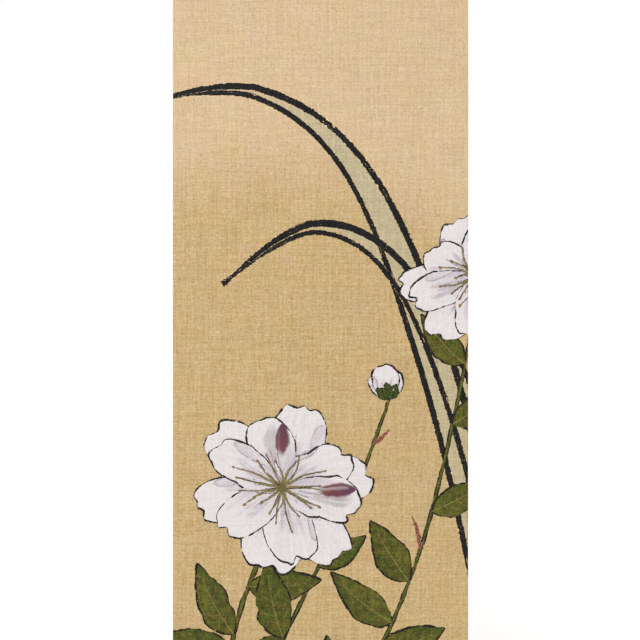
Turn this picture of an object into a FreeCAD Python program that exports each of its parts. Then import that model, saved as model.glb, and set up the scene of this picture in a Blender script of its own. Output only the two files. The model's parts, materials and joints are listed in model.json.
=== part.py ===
import FreeCAD, Part

import json
import math
import os

from FreeCAD import Placement, Rotation, Vector

# A three-fold screen of silk-covered panels. Each panel is a wooden frame with a board on both
# sides, wrapped in silk that turns over onto the back, where a lining cloth and a braid finish it.
# Brass butt hinges join the panels at alternate faces, so the screen stands as a zigzag.
# Every panel is drawn upright in its own frame: x from its left edge to its right edge, y from
# its front face to its back, z up from the floor. The assembly then stands them up at rest.

# Driving dimensions, in millimetres
panel_width = 450.0
panel_height = 1800.0
frame_thickness = 15.0
board_thickness = 2.0
silk_thickness = 0.5
cover_clearance = 0.1
cover_edge_bevel = 0.6
cut_overrun = 5.0

# How the screen stands at rest, in degrees away from a flat, fully opened screen
back_fold_rest_deg = 150.0
front_fold_rest_deg = 100.0
folded_flat_deg = 180.0

# Frame members with their glued mortise and tenon joints
stile_width = 42.0
top_rail_height = 50.0
bottom_rail_height = 70.0
cross_rail_height = 40.0
cross_rail_height_shares = {"lower_cross_rail": 1 / 3, "upper_cross_rail": 2 / 3}
tenon_length = 28.0
tenon_thickness = 5.0
tenon_shoulder = 12.0
tenon_clearance = 0.1

# Silk turned over onto the back, the lining cloth over it and the braid round the lining
hem_width = 24.0
lining_thickness = 0.5
lining_inset = 8.0
braid_width = 12.0
braid_thickness = 1.2
braid_overhang = 1.0

# Nail-on glides under the stiles
glide_height = 5.0
glide_radius = 8.0
glide_nail_radius = 1.25
glide_nail_length = 11.0
glide_nail_clearance = 0.05

# Cast brass butt hinges
hinge_height_shares = (0.1, 0.5, 0.9)
hinge_length = 60.0
leaf_reach = 14.0
leaf_thickness = 1.8
leaf_pocket_clearance = 0.1
panel_gap = 2.0
barrel_radius = 3.2
barrel_stand_off = 0.3
knuckle_count = 3
knuckle_clearance = 0.2
pin_radius = 1.6
pin_clearance = 0.05
screw_end_inset = 10.0
screw_head_radius = 2.9
screw_shank_radius = 1.4
screw_length = 14.0
screw_clearance = 0.05
screw_slot_width = 0.7
screw_slot_depth = 0.6

# Screws and nails are turned pieces drawn with this many sides, and they taper to a blunt point
small_round_sides = 8
point_length = 3.0
point_radius = 0.3

# Levels through a panel, worked out from its layers
core_inset = silk_thickness + cover_clearance
frame_front = core_inset + board_thickness
frame_back = frame_front + frame_thickness
frame_middle = (frame_front + frame_back) / 2
core_back = frame_back + board_thickness
panel_depth = core_back + core_inset
core_left = core_inset
core_right = panel_width - core_inset
core_bottom = glide_height + core_inset
core_top = panel_height - core_inset
stile_inner_left = core_left + stile_width
stile_inner_right = core_right - stile_width
axis_stand_off = barrel_radius + barrel_stand_off
axis_from_edge = panel_gap / 2

UP = Vector(0, 0, 1)
FULL_TURN = 2 * math.pi


def block(low, high):
    """A box between two corners, each given as x, y, z."""
    low, high = Vector(*low), Vector(*high)
    size = high - low
    return Part.makeBox(size.x, size.y, size.z, low)


def turned(stations):
    """A small turned piece on the z axis, through stations of (level, radius), with few sides."""
    rings = []
    for level, radius in stations:
        corners = [
            Vector(radius * math.cos(angle), radius * math.sin(angle), level)
            for angle in (
                FULL_TURN * number / small_round_sides for number in range(small_round_sides + 1)
            )
        ]
        rings.append(Part.makePolygon(corners))
    return Part.makeLoft(rings, True, True)


def joined(solids):
    """Several separate solids as one group."""
    return Part.makeCompound(solids)


# What the frame, the boards and the cover share


def rails():
    """Each rail's lowest and highest level, by name."""
    core_height = core_top - core_bottom
    levels = {
        "top_rail": (core_top - top_rail_height, core_top),
        "bottom_rail": (core_bottom, core_bottom + bottom_rail_height),
    }
    for name, share in cross_rail_height_shares.items():
        middle = core_bottom + share * core_height
        levels[name] = (middle - cross_rail_height / 2, middle + cross_rail_height / 2)
    return levels


def glide_places():
    """Where the glides stand, one under each stile."""
    return [
        Vector(x, frame_middle, 0)
        for x in (core_left + stile_width / 2, core_right - stile_width / 2)
    ]


def glide_nails(clearance=0.0):
    """The nails of the glides, or the holes for them when given a clearance."""
    nail = turned(
        (
            (glide_height, glide_nail_radius + clearance),
            (glide_height + glide_nail_length - point_length, glide_nail_radius + clearance),
            (glide_height + glide_nail_length + clearance, point_radius + clearance),
        )
    )
    return [nail.translated(place) for place in glide_places()]


# One hinge, drawn round its own axis: the panel it is screwed to lies towards -x and -y


def screw(clearance=0.0):
    """A countersunk screw that points along -x, its head flush with the origin, or its hole."""
    head_radius = screw_head_radius + clearance
    shank_radius = screw_shank_radius + clearance
    head_depth = screw_head_radius - screw_shank_radius
    whole = turned(
        (
            (0, head_radius),
            (head_depth, shank_radius),
            (screw_length - point_length, shank_radius),
            (screw_length + clearance, point_radius + clearance),
        )
    )
    if not clearance:
        slot = block(
            (-screw_slot_width / 2, -screw_head_radius, -cut_overrun),
            (screw_slot_width / 2, screw_head_radius, screw_slot_depth),
        )
        whole = whole.cut(slot)
    whole.rotate(Vector(0, 0, 0), Vector(0, 1, 0), -90)
    return whole


def screws(clearance=0.0):
    """The screws of one leaf, or their holes."""
    depth = -axis_stand_off - leaf_reach / 2
    return [
        screw(clearance).translated(Vector(-axis_from_edge, depth, level))
        for level in (screw_end_inset, hinge_length - screw_end_inset)
    ]


def knuckle_span(number):
    """A knuckle's lower and upper end, with half the clearance at each end that meets another."""
    pitch = hinge_length / knuckle_count
    low = number * pitch + (knuckle_clearance / 2 if number else 0)
    high = (number + 1) * pitch - (knuckle_clearance / 2 if number + 1 < knuckle_count else 0)
    return low, high


def leaf(first_knuckle):
    """A hinge leaf with every second knuckle of the barrel, counted from first_knuckle."""
    outer, inner = -axis_from_edge, -axis_from_edge - leaf_thickness
    plate = block((inner, -axis_stand_off - leaf_reach, 0), (outer, 0, hinge_length))
    plate = plate.cut(Part.makeCylinder(barrel_radius + knuckle_clearance, hinge_length))
    knuckles = []
    for number in range(first_knuckle, knuckle_count, 2):
        low, high = knuckle_span(number)
        knuckles.append(Part.makeCylinder(barrel_radius, high - low, Vector(0, 0, low)))
        knuckles.append(block((inner, -axis_stand_off, low), (outer, 0, high)))
    bore = Part.makeCylinder(
        pin_radius + pin_clearance, hinge_length + 2 * cut_overrun, Vector(0, 0, -cut_overrun)
    )
    return plate.fuse(knuckles).removeSplitter().cut([bore] + screws(screw_clearance))


def pin():
    """The hinge pin, flush with the barrel's ends."""
    return Part.makeCylinder(pin_radius, hinge_length)


def leaf_pocket():
    """What a leaf's seat takes out of the panel's edge."""
    inner = -axis_from_edge - leaf_thickness - leaf_pocket_clearance
    far_edge = -axis_stand_off - leaf_reach - leaf_pocket_clearance
    low, high = -leaf_pocket_clearance, hinge_length + leaf_pocket_clearance
    return block((inner, far_edge, low), (axis_from_edge, cut_overrun, high))


def hinge_frames(edge, face):
    """Where the hinge axes of one panel edge stand, in that panel's frame.

    edge is "left" or "right" of the panel, and face is the side that the barrels stand on.
    """
    x = -axis_from_edge if edge == "left" else panel_width + axis_from_edge
    y = panel_depth + axis_stand_off if face == "back" else -axis_stand_off
    turn = Rotation(UP, 0 if face == "back" else 180)
    levels = (share * panel_height - hinge_length / 2 for share in hinge_height_shares)
    return [Placement(Vector(x, y, z), turn) for z in levels]


def on_edge(shapes, edge, face):
    """Hinge pieces drawn round their own axis, set out along one panel edge."""
    other_hand = (edge == "left") == (face == "back")
    placed = []
    for frame in hinge_frames(edge, face):
        for shape in shapes:
            one = shape.mirror(Vector(0, 0, 0), Vector(1, 0, 0)) if other_hand else shape.copy()
            one.Placement = frame.multiply(one.Placement)
            placed.append(one)
    return placed


# The pieces of one panel


def stile(left, hinge_cuts):
    """An upright of the frame, mortised for the rails and bored for screws and a glide."""
    low, high = (core_left, stile_inner_left) if left else (stile_inner_right, core_right)
    body = block((low, frame_front, core_bottom), (high, frame_back, core_top))
    reach = tenon_length + tenon_clearance
    half = tenon_thickness / 2 + tenon_clearance
    start, end = (high - reach, high + cut_overrun) if left else (low - cut_overrun, low + reach)
    mortises = [
        block(
            (start, frame_middle - half, bottom + tenon_shoulder - tenon_clearance),
            (end, frame_middle + half, top - tenon_shoulder + tenon_clearance),
        )
        for bottom, top in rails().values()
    ]
    return body.cut(mortises + hinge_cuts + glide_nails(glide_nail_clearance))


def rail(bottom, top):
    """A cross member with a tenon on each end."""
    body = block((stile_inner_left, frame_front, bottom), (stile_inner_right, frame_back, top))
    tenon = block(
        (stile_inner_left - tenon_length, frame_middle - tenon_thickness / 2, bottom + tenon_shoulder),
        (stile_inner_right + tenon_length, frame_middle + tenon_thickness / 2, top - tenon_shoulder),
    )
    return body.fuse(tenon)


def board(front, back, hinge_cuts):
    """A thin board that closes one side of the frame."""
    sheet = block((core_left, front, core_bottom), (core_right, back, core_top))
    return sheet.cut(hinge_cuts) if hinge_cuts else sheet


def silk_cover(hinge_cuts):
    """Silk over the front and the four edges, turned over onto the back."""
    top = panel_height
    outer = block((0, 0, glide_height), (panel_width, panel_depth, top))
    outer = outer.makeChamfer(cover_edge_bevel, outer.Edges)
    room = block(
        (silk_thickness, silk_thickness, glide_height + silk_thickness),
        (panel_width - silk_thickness, panel_depth - silk_thickness, top - silk_thickness),
    )
    opening = block(
        (hem_width, core_back, glide_height + hem_width),
        (panel_width - hem_width, panel_depth + cut_overrun, top - hem_width),
    )
    return outer.cut([room, opening] + hinge_cuts + glide_nails(glide_nail_clearance))


def back_lining():
    """The lining cloth, stretched over the turned-over silk."""
    return block(
        (lining_inset, panel_depth, glide_height + lining_inset),
        (panel_width - lining_inset, panel_depth + lining_thickness, panel_height - lining_inset),
    )


def back_braid():
    """A flat braid that covers the lining's raw edge all round."""
    outer = lining_inset - braid_overhang
    inner = outer + braid_width
    front = panel_depth + lining_thickness
    back = front + braid_thickness
    ring = block(
        (outer, front, glide_height + outer), (panel_width - outer, back, panel_height - outer)
    )
    middle = block(
        (inner, front - cut_overrun, glide_height + inner),
        (panel_width - inner, back + cut_overrun, panel_height - inner),
    )
    return ring.cut(middle)


def glides():
    """Round glides, each made in one with its nail."""
    return [
        Part.makeCylinder(glide_radius, glide_height, place).fuse(nail)
        for place, nail in zip(glide_places(), glide_nails())
    ]


def panel_pieces(hinged_edges):
    """Every piece of one panel. hinged_edges maps "left" and "right" to the face of the barrels."""
    cuts = {"left": [], "right": [], "front": [], "back": []}
    for edge, face in hinged_edges.items():
        pockets = on_edge([leaf_pocket()], edge, face)
        cuts[edge] += pockets + on_edge(screws(screw_clearance), edge, face)
        cuts[face] += pockets
    pieces = {
        "left_stile": stile(True, cuts["left"]),
        "right_stile": stile(False, cuts["right"]),
        "front_board": board(core_inset, frame_front, cuts["front"]),
        "back_board": board(frame_back, core_back, cuts["back"]),
        "silk_cover": silk_cover(cuts["front"] + cuts["back"]),
        "back_lining": back_lining(),
        "back_braid": back_braid(),
        "glides": joined(glides()),
    }
    for name, (bottom, top) in rails().items():
        pieces[name] = rail(bottom, top)
    return pieces


# The assembly


def panel_frames():
    """Where each panel stands at rest, before the whole screen is centred on its footprint."""
    axis_x = panel_width + axis_from_edge
    next_panel = Placement(Vector(panel_width + panel_gap, 0, 0), Rotation())
    folds = (
        (panel_depth + axis_stand_off, back_fold_rest_deg),
        (-axis_stand_off, -front_fold_rest_deg),
    )
    frames = [Placement()]
    for axis_y, angle in folds:
        fold = Placement(Vector(0, 0, 0), Rotation(UP, angle), Vector(axis_x, axis_y, 0))
        frames.append(frames[-1].multiply(fold).multiply(next_panel))
    return frames


def assembly():
    """Every node of the screen at rest, by name."""
    hinged_edges = (
        {"right": "back"},
        {"left": "back", "right": "front"},
        {"left": "front"},
    )
    nodes = {}
    for number, (frame, edges) in enumerate(zip(panel_frames(), hinged_edges), 1):
        shapes = {f"panel{number}_{name}": shape for name, shape in panel_pieces(edges).items()}
        for edge, face in edges.items():
            first_knuckle = 0 if (edge == "right") == (face == "back") else 1
            prefix = f"{face}_hinge_panel{number}"
            shapes[f"{prefix}_leaves"] = joined(on_edge([leaf(first_knuckle)], edge, face))
            shapes[f"{prefix}_screws"] = joined(on_edge(screws(), edge, face))
            if first_knuckle == 0:
                shapes[f"{face}_hinge_pins"] = joined(on_edge([pin()], edge, face))
        for name, shape in shapes.items():
            shape.Placement = frame.multiply(shape.Placement)
            nodes[name] = shape
    return nodes


def centred(nodes):
    """Moves the screen so that the middle of its footprint is at the origin, and gives the move."""
    bounds = Part.makeCompound(list(nodes.values())).BoundBox
    move = Placement(Vector(-bounds.Center.x, -bounds.Center.y, 0), Rotation())
    for shape in nodes.values():
        shape.Placement = move.multiply(shape.Placement)
    return move


def interfaces(move):
    """The hinge axes, their travel and the glides' feet in the screen's frame, for the record."""
    frames = [move.multiply(frame) for frame in panel_frames()]
    axis_x = panel_width + axis_from_edge
    back_axis = frames[0].multVec(Vector(axis_x, panel_depth + axis_stand_off, 0))
    front_axis = frames[1].multVec(Vector(axis_x, -axis_stand_off, 0))
    feet = [frame.multVec(place) for frame in frames for place in glide_places()]
    return {
        "back_axis_mm": list(back_axis),
        "back_range_deg": [-back_fold_rest_deg, folded_flat_deg - back_fold_rest_deg],
        "front_axis_mm": list(front_axis),
        "front_range_deg": [front_fold_rest_deg - folded_flat_deg, front_fold_rest_deg],
        "feet_mm": [list(foot) for foot in feet],
    }


def main():
    nodes = assembly()
    move = centred(nodes)
    os.makedirs("parts", exist_ok=True)
    for name, shape in nodes.items():
        if not shape.isValid() or min(solid.Volume for solid in shape.Solids) <= 0:
            raise RuntimeError(f"{name} is not made of valid closed solids")
        shape.exportStep(f"parts/{name}.step")
        print(name, "solids", len(shape.Solids), "volume mm3", round(shape.Volume, 1))
    print(len(nodes), "nodes")
    print(json.dumps(interfaces(move)))


main()
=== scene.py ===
"""Dresses the folding screen: painted silk, linings, braids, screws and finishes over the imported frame.

Lengths are in metres and colours are linear unless a name says otherwise. Each panel has axes of its own:
x from its left edge to its right one, y from its painted face to its back, and z up. The painting is laid
out on one wide picture, which runs on over the three panels side by side and is cut at their edges.
"""

import json
import math
from functools import partial
from types import SimpleNamespace

import bmesh
import bpy
import numpy as np
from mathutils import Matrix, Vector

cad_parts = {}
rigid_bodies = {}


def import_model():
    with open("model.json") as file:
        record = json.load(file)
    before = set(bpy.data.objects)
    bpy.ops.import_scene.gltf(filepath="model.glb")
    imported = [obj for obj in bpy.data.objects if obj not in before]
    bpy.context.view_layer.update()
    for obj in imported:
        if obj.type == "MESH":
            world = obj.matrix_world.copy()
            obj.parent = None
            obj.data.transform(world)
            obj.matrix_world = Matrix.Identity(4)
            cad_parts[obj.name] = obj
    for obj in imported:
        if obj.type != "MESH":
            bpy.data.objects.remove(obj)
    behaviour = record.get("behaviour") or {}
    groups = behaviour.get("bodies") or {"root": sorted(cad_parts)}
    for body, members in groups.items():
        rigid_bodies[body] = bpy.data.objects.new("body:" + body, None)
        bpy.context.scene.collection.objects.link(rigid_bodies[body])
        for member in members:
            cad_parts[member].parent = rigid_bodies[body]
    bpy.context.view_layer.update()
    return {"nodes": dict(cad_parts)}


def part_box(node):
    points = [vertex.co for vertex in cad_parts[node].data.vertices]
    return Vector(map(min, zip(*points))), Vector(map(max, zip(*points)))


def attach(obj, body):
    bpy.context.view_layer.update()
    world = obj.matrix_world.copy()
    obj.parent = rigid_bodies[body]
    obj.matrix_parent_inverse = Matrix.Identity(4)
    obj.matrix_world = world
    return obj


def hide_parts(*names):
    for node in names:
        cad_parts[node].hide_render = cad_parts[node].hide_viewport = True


for leftover in list(bpy.data.objects):
    bpy.data.objects.remove(leftover)
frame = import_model()

bl_info = {
    "name": "Folding screen",
    "version": (1, 0, 0),
    "blender": (4, 5, 0),
    "location": "3D View > Sidebar > Folding screen",
    "description": "Dresses a folding screen of three panels in painted silk, lining cloth, braid and brass",
    "category": "Object",
}

PANELS = (1, 2, 3)
LEFT, RIGHT, FRONT, BACK = "left", "right", "front", "back"
# The hinged edges of each panel, and the face at which the hinges' barrels stand.
HINGED_EDGES = {1: ((RIGHT, BACK),), 2: ((LEFT, BACK), (RIGHT, FRONT)), 3: ((LEFT, FRONT),)}
# The hinges' places as shares of the height, and the pockets that the edges have for them.
HINGE_SHARES = (0.1, 0.5, 0.9)
POCKET_HALF_HEIGHT, POCKET_DEPTH, POCKET_REACH = 0.0301, 0.0019, 0.0176
HEM = 0.024
BRAID_INSET = 0.007
LINING_INSET, LINING_THICKNESS = 0.008, 0.0005


def linear(red, green, blue):
    """Turns the screen values 0 to 255 of a colour into linear light."""
    level = np.array([red, green, blue]) / 255
    return tuple(np.where(level <= 0.04045, level / 12.92, ((level + 0.055) / 1.055) ** 2.4).round(5))


def smooth(t):
    """The curve t * t * (3 - 2t), held to 0 below nought and to 1 above one."""
    t = np.clip(t, 0, 1)
    return t * t * (3 - 2 * t)


def blend_colours(low, high, share):
    """Gives low where the share is 0, high where it is 1, and a straight mix between."""
    share = np.asarray(share)[..., None]
    return np.asarray(low) * (1 - share) + np.asarray(high) * share


def vertices_of(thing):
    """The vertices of an object's mesh as rows of x, y and z."""
    flat = np.empty(len(thing.data.vertices) * 3, np.float32)
    thing.data.vertices.foreach_get("co", flat)
    return flat.reshape(-1, 3).astype(float)


class Board:
    """One panel's place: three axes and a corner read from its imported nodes, and its width, depth and
    height."""

    def __init__(self, number):
        front, back = (np.mean(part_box(f"panel{number}_{face}_board"), axis=0) for face in (FRONT, BACK))
        inward = (back - front) / np.linalg.norm(back - front)
        self.axes = np.array([[inward[1], -inward[0], 0], [inward[0], inward[1], 0], [0, 0, 1]])
        local = vertices_of(frame["nodes"][f"panel{number}_silk_cover"]) @ self.axes.T
        self.number = number
        self.body = f"panel_{number}"
        self.corner = local.min(0)
        self.width, self.depth, self.height = local.max(0) - self.corner

    def node(self, ending):
        return f"panel{self.number}_{ending}"

    def place(self, points):
        """Takes points from the panel's own axes to the frame's."""
        return (np.asarray(points) + self.corner) @ self.axes

    def hinge_levels(self):
        """How high the middle of each hinge stands in the panel's own axes."""
        return [share * (self.height + self.corner[2]) - self.corner[2] for share in HINGE_SHARES]

    def pockets(self):
        """The lowest and highest x, y and z of the hinge pockets in this panel's edges, which run past
        its skin."""
        boxes = []
        for edge, face in HINGED_EDGES[self.number]:
            x = (-1, POCKET_DEPTH) if edge == LEFT else (self.width - POCKET_DEPTH, self.width + 1)
            y = (-1, POCKET_REACH) if face == FRONT else (self.depth - POCKET_REACH, self.depth + 1)
            for level in self.hinge_levels():
                boxes.append((x, y, (level - POCKET_HALF_HEIGHT, level + POCKET_HALF_HEIGHT)))
        return boxes


BOARDS = {number: Board(number) for number in PANELS}
# One panel's share of the wide picture. The three are alike.
WIDTH = BOARDS[1].width


def length_property(name, description, default, **limits):
    return bpy.props.FloatProperty(
        name=name, description=description, default=default, unit="LENGTH", precision=5, **limits
    )


def colour_property(name, description, *screen_values):
    colour = linear(*screen_values)
    return bpy.props.FloatVectorProperty(
        name=name, description=description, default=colour, size=3, subtype="COLOR", min=0, max=1
    )


def number_property(name, description, default, lowest):
    return bpy.props.FloatProperty(name=name, description=description, default=default, min=lowest)


class SilkSettings(bpy.types.PropertyGroup):
    """The silk cover and its bare ground."""

    thickness: length_property("Thickness", "Silk and the paper behind it", 0.0005, min=0.0001)
    edge_radius: length_property(
        "Edge radius", "Rounding where the silk turns over an edge", 0.0008, min=0.0002
    )
    cell: length_property("Grid", "Size of the squares that the silk is modelled in", 0.012, min=0.002)
    upper: colour_property("Upper ground", "Paler silk towards the top", 221, 193, 153)
    lower: colour_property("Lower ground", "Golden silk towards the bottom", 206, 177, 127)


class PaintSettings(bpy.types.PropertyGroup):
    """The colours of the painting."""

    white: colour_property("White", "Body colour of the petals", 235, 229, 228)
    shade: colour_property("Petal shade", "Shading inside the petals", 202, 190, 200)
    violet: colour_property("Violet", "Blush on a few petals", 98, 66, 88)
    russet: colour_property("Russet", "Red-brown accents", 146, 78, 58)
    ochre: colour_property("Ochre", "Stamens", 151, 133, 88)
    leaf: colour_property("Leaf", "Green of the leaves", 66, 79, 24)
    leaf_warm: colour_property("Warm leaf", "Yellower green of the leaves", 98, 96, 34)
    leaf_brown: colour_property("Brown leaf", "Brownish patches in the leaves", 108, 82, 36)
    ink: colour_property("Ink", "Broad brush lines", 23, 20, 21)
    outline: colour_property("Outline", "Fine warm black lines", 32, 24, 19)
    wash: colour_property("Wash", "Thin grey-green inside the grass blades", 197, 184, 149)


class TrimSettings(bpy.types.PropertyGroup):
    """The cloth and braid on the back."""

    lining: colour_property("Lining", "Plain cloth over the back", 142, 116, 88)
    braid: colour_property("Braid", "Flat braid round the lining", 112, 84, 58)
    braid_width: length_property("Braid width", "Width of the flat braid", 0.012, min=0.004)
    braid_height: length_property("Braid height", "Height of the braid over the lining", 0.0012, min=0.0004)
    plait: length_property("Plait", "Length of two chevrons of the braid", 0.006, min=0.002)


class StageSettings(bpy.types.PropertyGroup):
    """Camera and light."""

    lens: number_property("Lens", "Focal length in millimetres", 30, 10)
    distance: length_property("Distance", "From the camera to the first panel's face", 0.812, min=0.3)
    eye_height: length_property("Eye height", "Height of the camera over the floor", 0.92, min=0.1)
    side_step: length_property("Side step", "Camera's place left or right of the panel's middle", -0.0008)
    daylight: number_property("Daylight", "Strength of the even light", 0.85, 0)
    floor_lift: number_property(
        "Floor lift", "Light that the floor adds for the camera to show white", 0.3, 0
    )
    lamp: number_property("Lamp", "Power of the soft lamp in watts", 31, 0)


SETTINGS = {
    "screen_silk": SilkSettings,
    "screen_paint": PaintSettings,
    "screen_trim": TrimSettings,
    "screen_stage": StageSettings,
}


def quads_of(rows, columns):
    """The four corners of each square of a grid of points, row after row."""
    start = np.arange(rows - 1)[:, None] * columns + np.arange(columns - 1)[None]
    return np.stack([start, start + 1, start + columns + 1, start + columns], -1).reshape(-1, 4)


def add_object(name, data):
    thing = bpy.data.objects.new(name, data)
    bpy.context.scene.collection.objects.link(thing)
    return thing


def new_piece(name, points, quads, maps=None, colours=None):
    """Makes a mesh object from rows of points and quads, with UV maps and colour attributes by point."""

    def fill(items, key, values, kind=np.float32):
        items.foreach_set(key, np.asarray(values, kind).ravel())

    used, quads = np.unique(quads, return_inverse=True)
    quads = quads.reshape(-1, 4)
    mesh = bpy.data.meshes.new(name)
    mesh.vertices.add(len(used))
    mesh.loops.add(quads.size)
    mesh.polygons.add(len(quads))
    fill(mesh.vertices, "co", points[used])
    fill(mesh.loops, "vertex_index", quads, np.int32)
    fill(mesh.polygons, "loop_start", np.arange(0, quads.size, 4), np.int32)
    mesh.update(calc_edges=True)
    mesh.shade_smooth()
    for map_name, places in (maps or {}).items():
        fill(mesh.uv_layers.new(name=map_name).uv, "vector", places[used][quads.ravel()])
    for colour_name, values in (colours or {}).items():
        fill(mesh.attributes.new(colour_name, "FLOAT_COLOR", "POINT").data, "color", values[used])
    return add_object(name, mesh)


# How near two points of a seam lie, in a piece and in a film of paint.
SEAM_REACH, FILM_SEAM_REACH = 1e-6, 1e-7


def merge_seams(piece, reach=SEAM_REACH):
    """Merges the points that lie on each other and drops the faces that have closed up."""
    sculpt = bmesh.new()
    sculpt.from_mesh(piece.data)
    bmesh.ops.remove_doubles(sculpt, verts=sculpt.verts, dist=reach)
    bmesh.ops.dissolve_degenerate(sculpt, edges=sculpt.edges, dist=reach)
    sculpt.to_mesh(piece.data)
    sculpt.free()


def thicken(piece, thickness):
    """Gives a surface its thickness, inwards from the face that is modelled."""
    wall = piece.modifiers.new("Thickness", "SOLIDIFY")
    wall.thickness = thickness
    wall.offset = -1


def settle(piece, board, material, node=None):
    """Gives a piece its material, the body that it rides on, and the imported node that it
    replaces."""
    piece.data.materials.append(material)
    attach(piece, board.body)
    if node:
        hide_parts(node)


def grid_lines(low, high, step, marks=()):
    """Places from low to high about a step apart, with one on every mark."""
    ends = np.unique(np.array([low, high, *marks]).round(7))
    runs = [np.linspace(a, b, max(2, math.ceil((b - a) / step - 1e-6) + 1)) for a, b in zip(ends, ends[1:])]
    return np.unique(np.concatenate(runs).round(7))


class Value:
    """What a node gives out. Adding to it, taking from it or multiplying it adds a Math node that does
    so."""

    def __init__(self, finish, socket):
        self.finish, self.socket = finish, socket

    def __add__(self, other):
        return self.finish.maths("ADD", self, other)

    def __sub__(self, other):
        return self.finish.maths("SUBTRACT", self, other)

    def __mul__(self, other):
        return self.finish.maths("MULTIPLY", self, other)


class Finish:
    """A material, and short calls that add nodes to it. A number, a tuple or a Value may feed each input."""

    def __init__(self, name, **shader_values):
        self.material = bpy.data.materials.new(name)
        self.material.use_nodes = True
        self.tree = self.material.node_tree
        self.shader = self.tree.nodes["Principled BSDF"]
        for socket, value in shader_values.items():
            self.shader.inputs[socket.replace("_", " ")].default_value = value

    def add(self, kind, feeds, output=0, **settings):
        """Adds a node with its feeds and settings, and hands back one of its outputs."""
        node = self.tree.nodes.new(kind)
        for key, value in settings.items():
            setattr(node, key, value)
        for socket, feed in feeds.items():
            if isinstance(feed, Value):
                self.tree.links.new(feed.socket, node.inputs[socket])
            else:
                node.inputs[socket].default_value = feed
        return Value(self, node.outputs[output])

    def maths(self, operation, first, second=0.0):
        return self.add("ShaderNodeMath", {0: first, 1: second}, operation=operation)

    def vectors(self, operation, *feeds):
        return self.add("ShaderNodeVectorMath", dict(enumerate(feeds)), operation=operation)

    def scaled(self, colour, level):
        return self.add("ShaderNodeVectorMath", {0: colour, 3: level}, operation="SCALE")

    def mix(self, share, low, high):
        low, high = ((*c, 1) if isinstance(c, tuple) else c for c in (low, high))
        return self.add("ShaderNodeMix", {0: share, 6: low, 7: high}, 2, data_type="RGBA")

    def spread(self, value, low, high, out_low=0.0, out_high=1.0):
        """Takes low..high of a value smoothly to out_low..out_high."""
        feeds = {0: value, 1: low, 2: high, 3: out_low, 4: out_high}
        return self.add("ShaderNodeMapRange", feeds, interpolation_type="SMOOTHSTEP")

    def stretched(self, places, scale, shift=(0, 0, 0), turn=0.0):
        feeds = {"Vector": places, "Scale": scale, "Location": shift, "Rotation": (0, 0, turn)}
        return self.add("ShaderNodeMapping", feeds)

    def noise(
        self, places, scale, shift=(0, 0), turn=0.0, detail=2, roughness=0.5, distortion=0.0, output=0
    ):
        """A noise of so many swells a metre: the scale is two numbers for a flat one, three for a solid
        one, or one number where it is solid and the same in all directions."""
        scale = scale if isinstance(scale, tuple) else (scale, scale, scale)
        places = self.stretched(places, (*scale, 1)[:3], (*shift, 0), turn)
        feeds = {"Vector": places, "Scale": 1, "Detail": detail, "Roughness": roughness}
        feeds["Distortion"] = distortion
        return self.add("ShaderNodeTexNoise", feeds, output, noise_dimensions=f"{len(scale)}D")

    def ribs(self, along, pitch, push):
        """A wave from nought to one with a given pitch, pushed to and fro."""
        return self.maths("SINE", along * (2 * math.pi / pitch) + push) * 0.5 + 0.5

    def map_of(self, name):
        return self.add("ShaderNodeUVMap", {}, uv_map=name)

    def attribute(self, name, output="Color"):
        return self.add("ShaderNodeAttribute", {}, output, attribute_name=name)

    def object_places(self):
        return self.add("ShaderNodeTexCoord", {}, "Object")

    def bump(self, height, distance, strength):
        return self.add("ShaderNodeBump", {"Height": height, "Distance": distance, "Strength": strength})

    def done(self, colour, roughness=None, normal=None):
        """Feeds the shader and hands back the material."""
        for socket, feed in (("Base Color", colour), ("Roughness", roughness), ("Normal", normal)):
            if feed is not None:
                self.tree.links.new(feed.socket, self.shader.inputs[socket])
        return self.material


# How high the finest grain of each material stands.
SILK_GRAIN, PAINT_GRAIN, LINING_GRAIN, YARN_GRAIN = 0.00012, 0.0001, 0.0002, 0.00015
SCRATCH_GRAIN, WOOD_GRAIN, FIBRE_GRAIN, PLASTIC_GRAIN = 0.00003, 0.0002, 0.00008, 0.00003

# The pitch of the wavering ribs between whose crossings the weave is open, and how much of each part of
# the weave goes into its tone.
PORE_PITCH = 0.0051
SLUB_SHARE, CROSSING_SHARE, SINGLE_SHARE, PORE_SHARE = 0.62, 0.75, 0.6, 0.24


def woven_threads(finish, cloth):
    """Slubby threads both ways: two noises drawn out along the cloth's width and its height, a slower
    pair for the thick and thin stretches, a finer pair for the single threads, a grain of their
    crossings, and small dark pores where the gaps of two wavering sets of ribs cross. Gives a tone about
    nought, a pattern from 0 to 1 and a height."""
    threads = finish.noise(cloth, (150, 430), detail=4, roughness=0.62)
    threads += finish.noise(cloth, (430, 130), (7, 3), detail=4, roughness=0.62)
    slubs = finish.noise(cloth, (18, 190), (2, 9)) + finish.noise(cloth, (190, 15), (5, 1))
    single = finish.noise(cloth, (110, 1250), (3, 5), detail=1)
    single += finish.noise(cloth, (1250, 110), (8, 2), detail=1)
    single -= 1
    crossings = finish.noise(cloth, (390, 390), (1, 6), detail=3, roughness=0.7) - 0.5
    across, up = (finish.add("ShaderNodeSeparateXYZ", {0: cloth}, axis) for axis in (0, 1))
    gaps_down = finish.ribs(across, PORE_PITCH * 1.15, finish.noise(cloth, (55, 21)) * 11)
    gaps_across = finish.ribs(up, PORE_PITCH, finish.noise(cloth, (21, 55), (4, 4)) * 9)
    pores = gaps_down * gaps_across - 0.25
    tone = threads + slubs * SLUB_SHARE - (1 + SLUB_SHARE) + crossings * CROSSING_SHARE
    tone = tone + single * SINGLE_SHARE - pores * PORE_SHARE
    return tone, threads * 0.5, threads + slubs + single - pores


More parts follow.
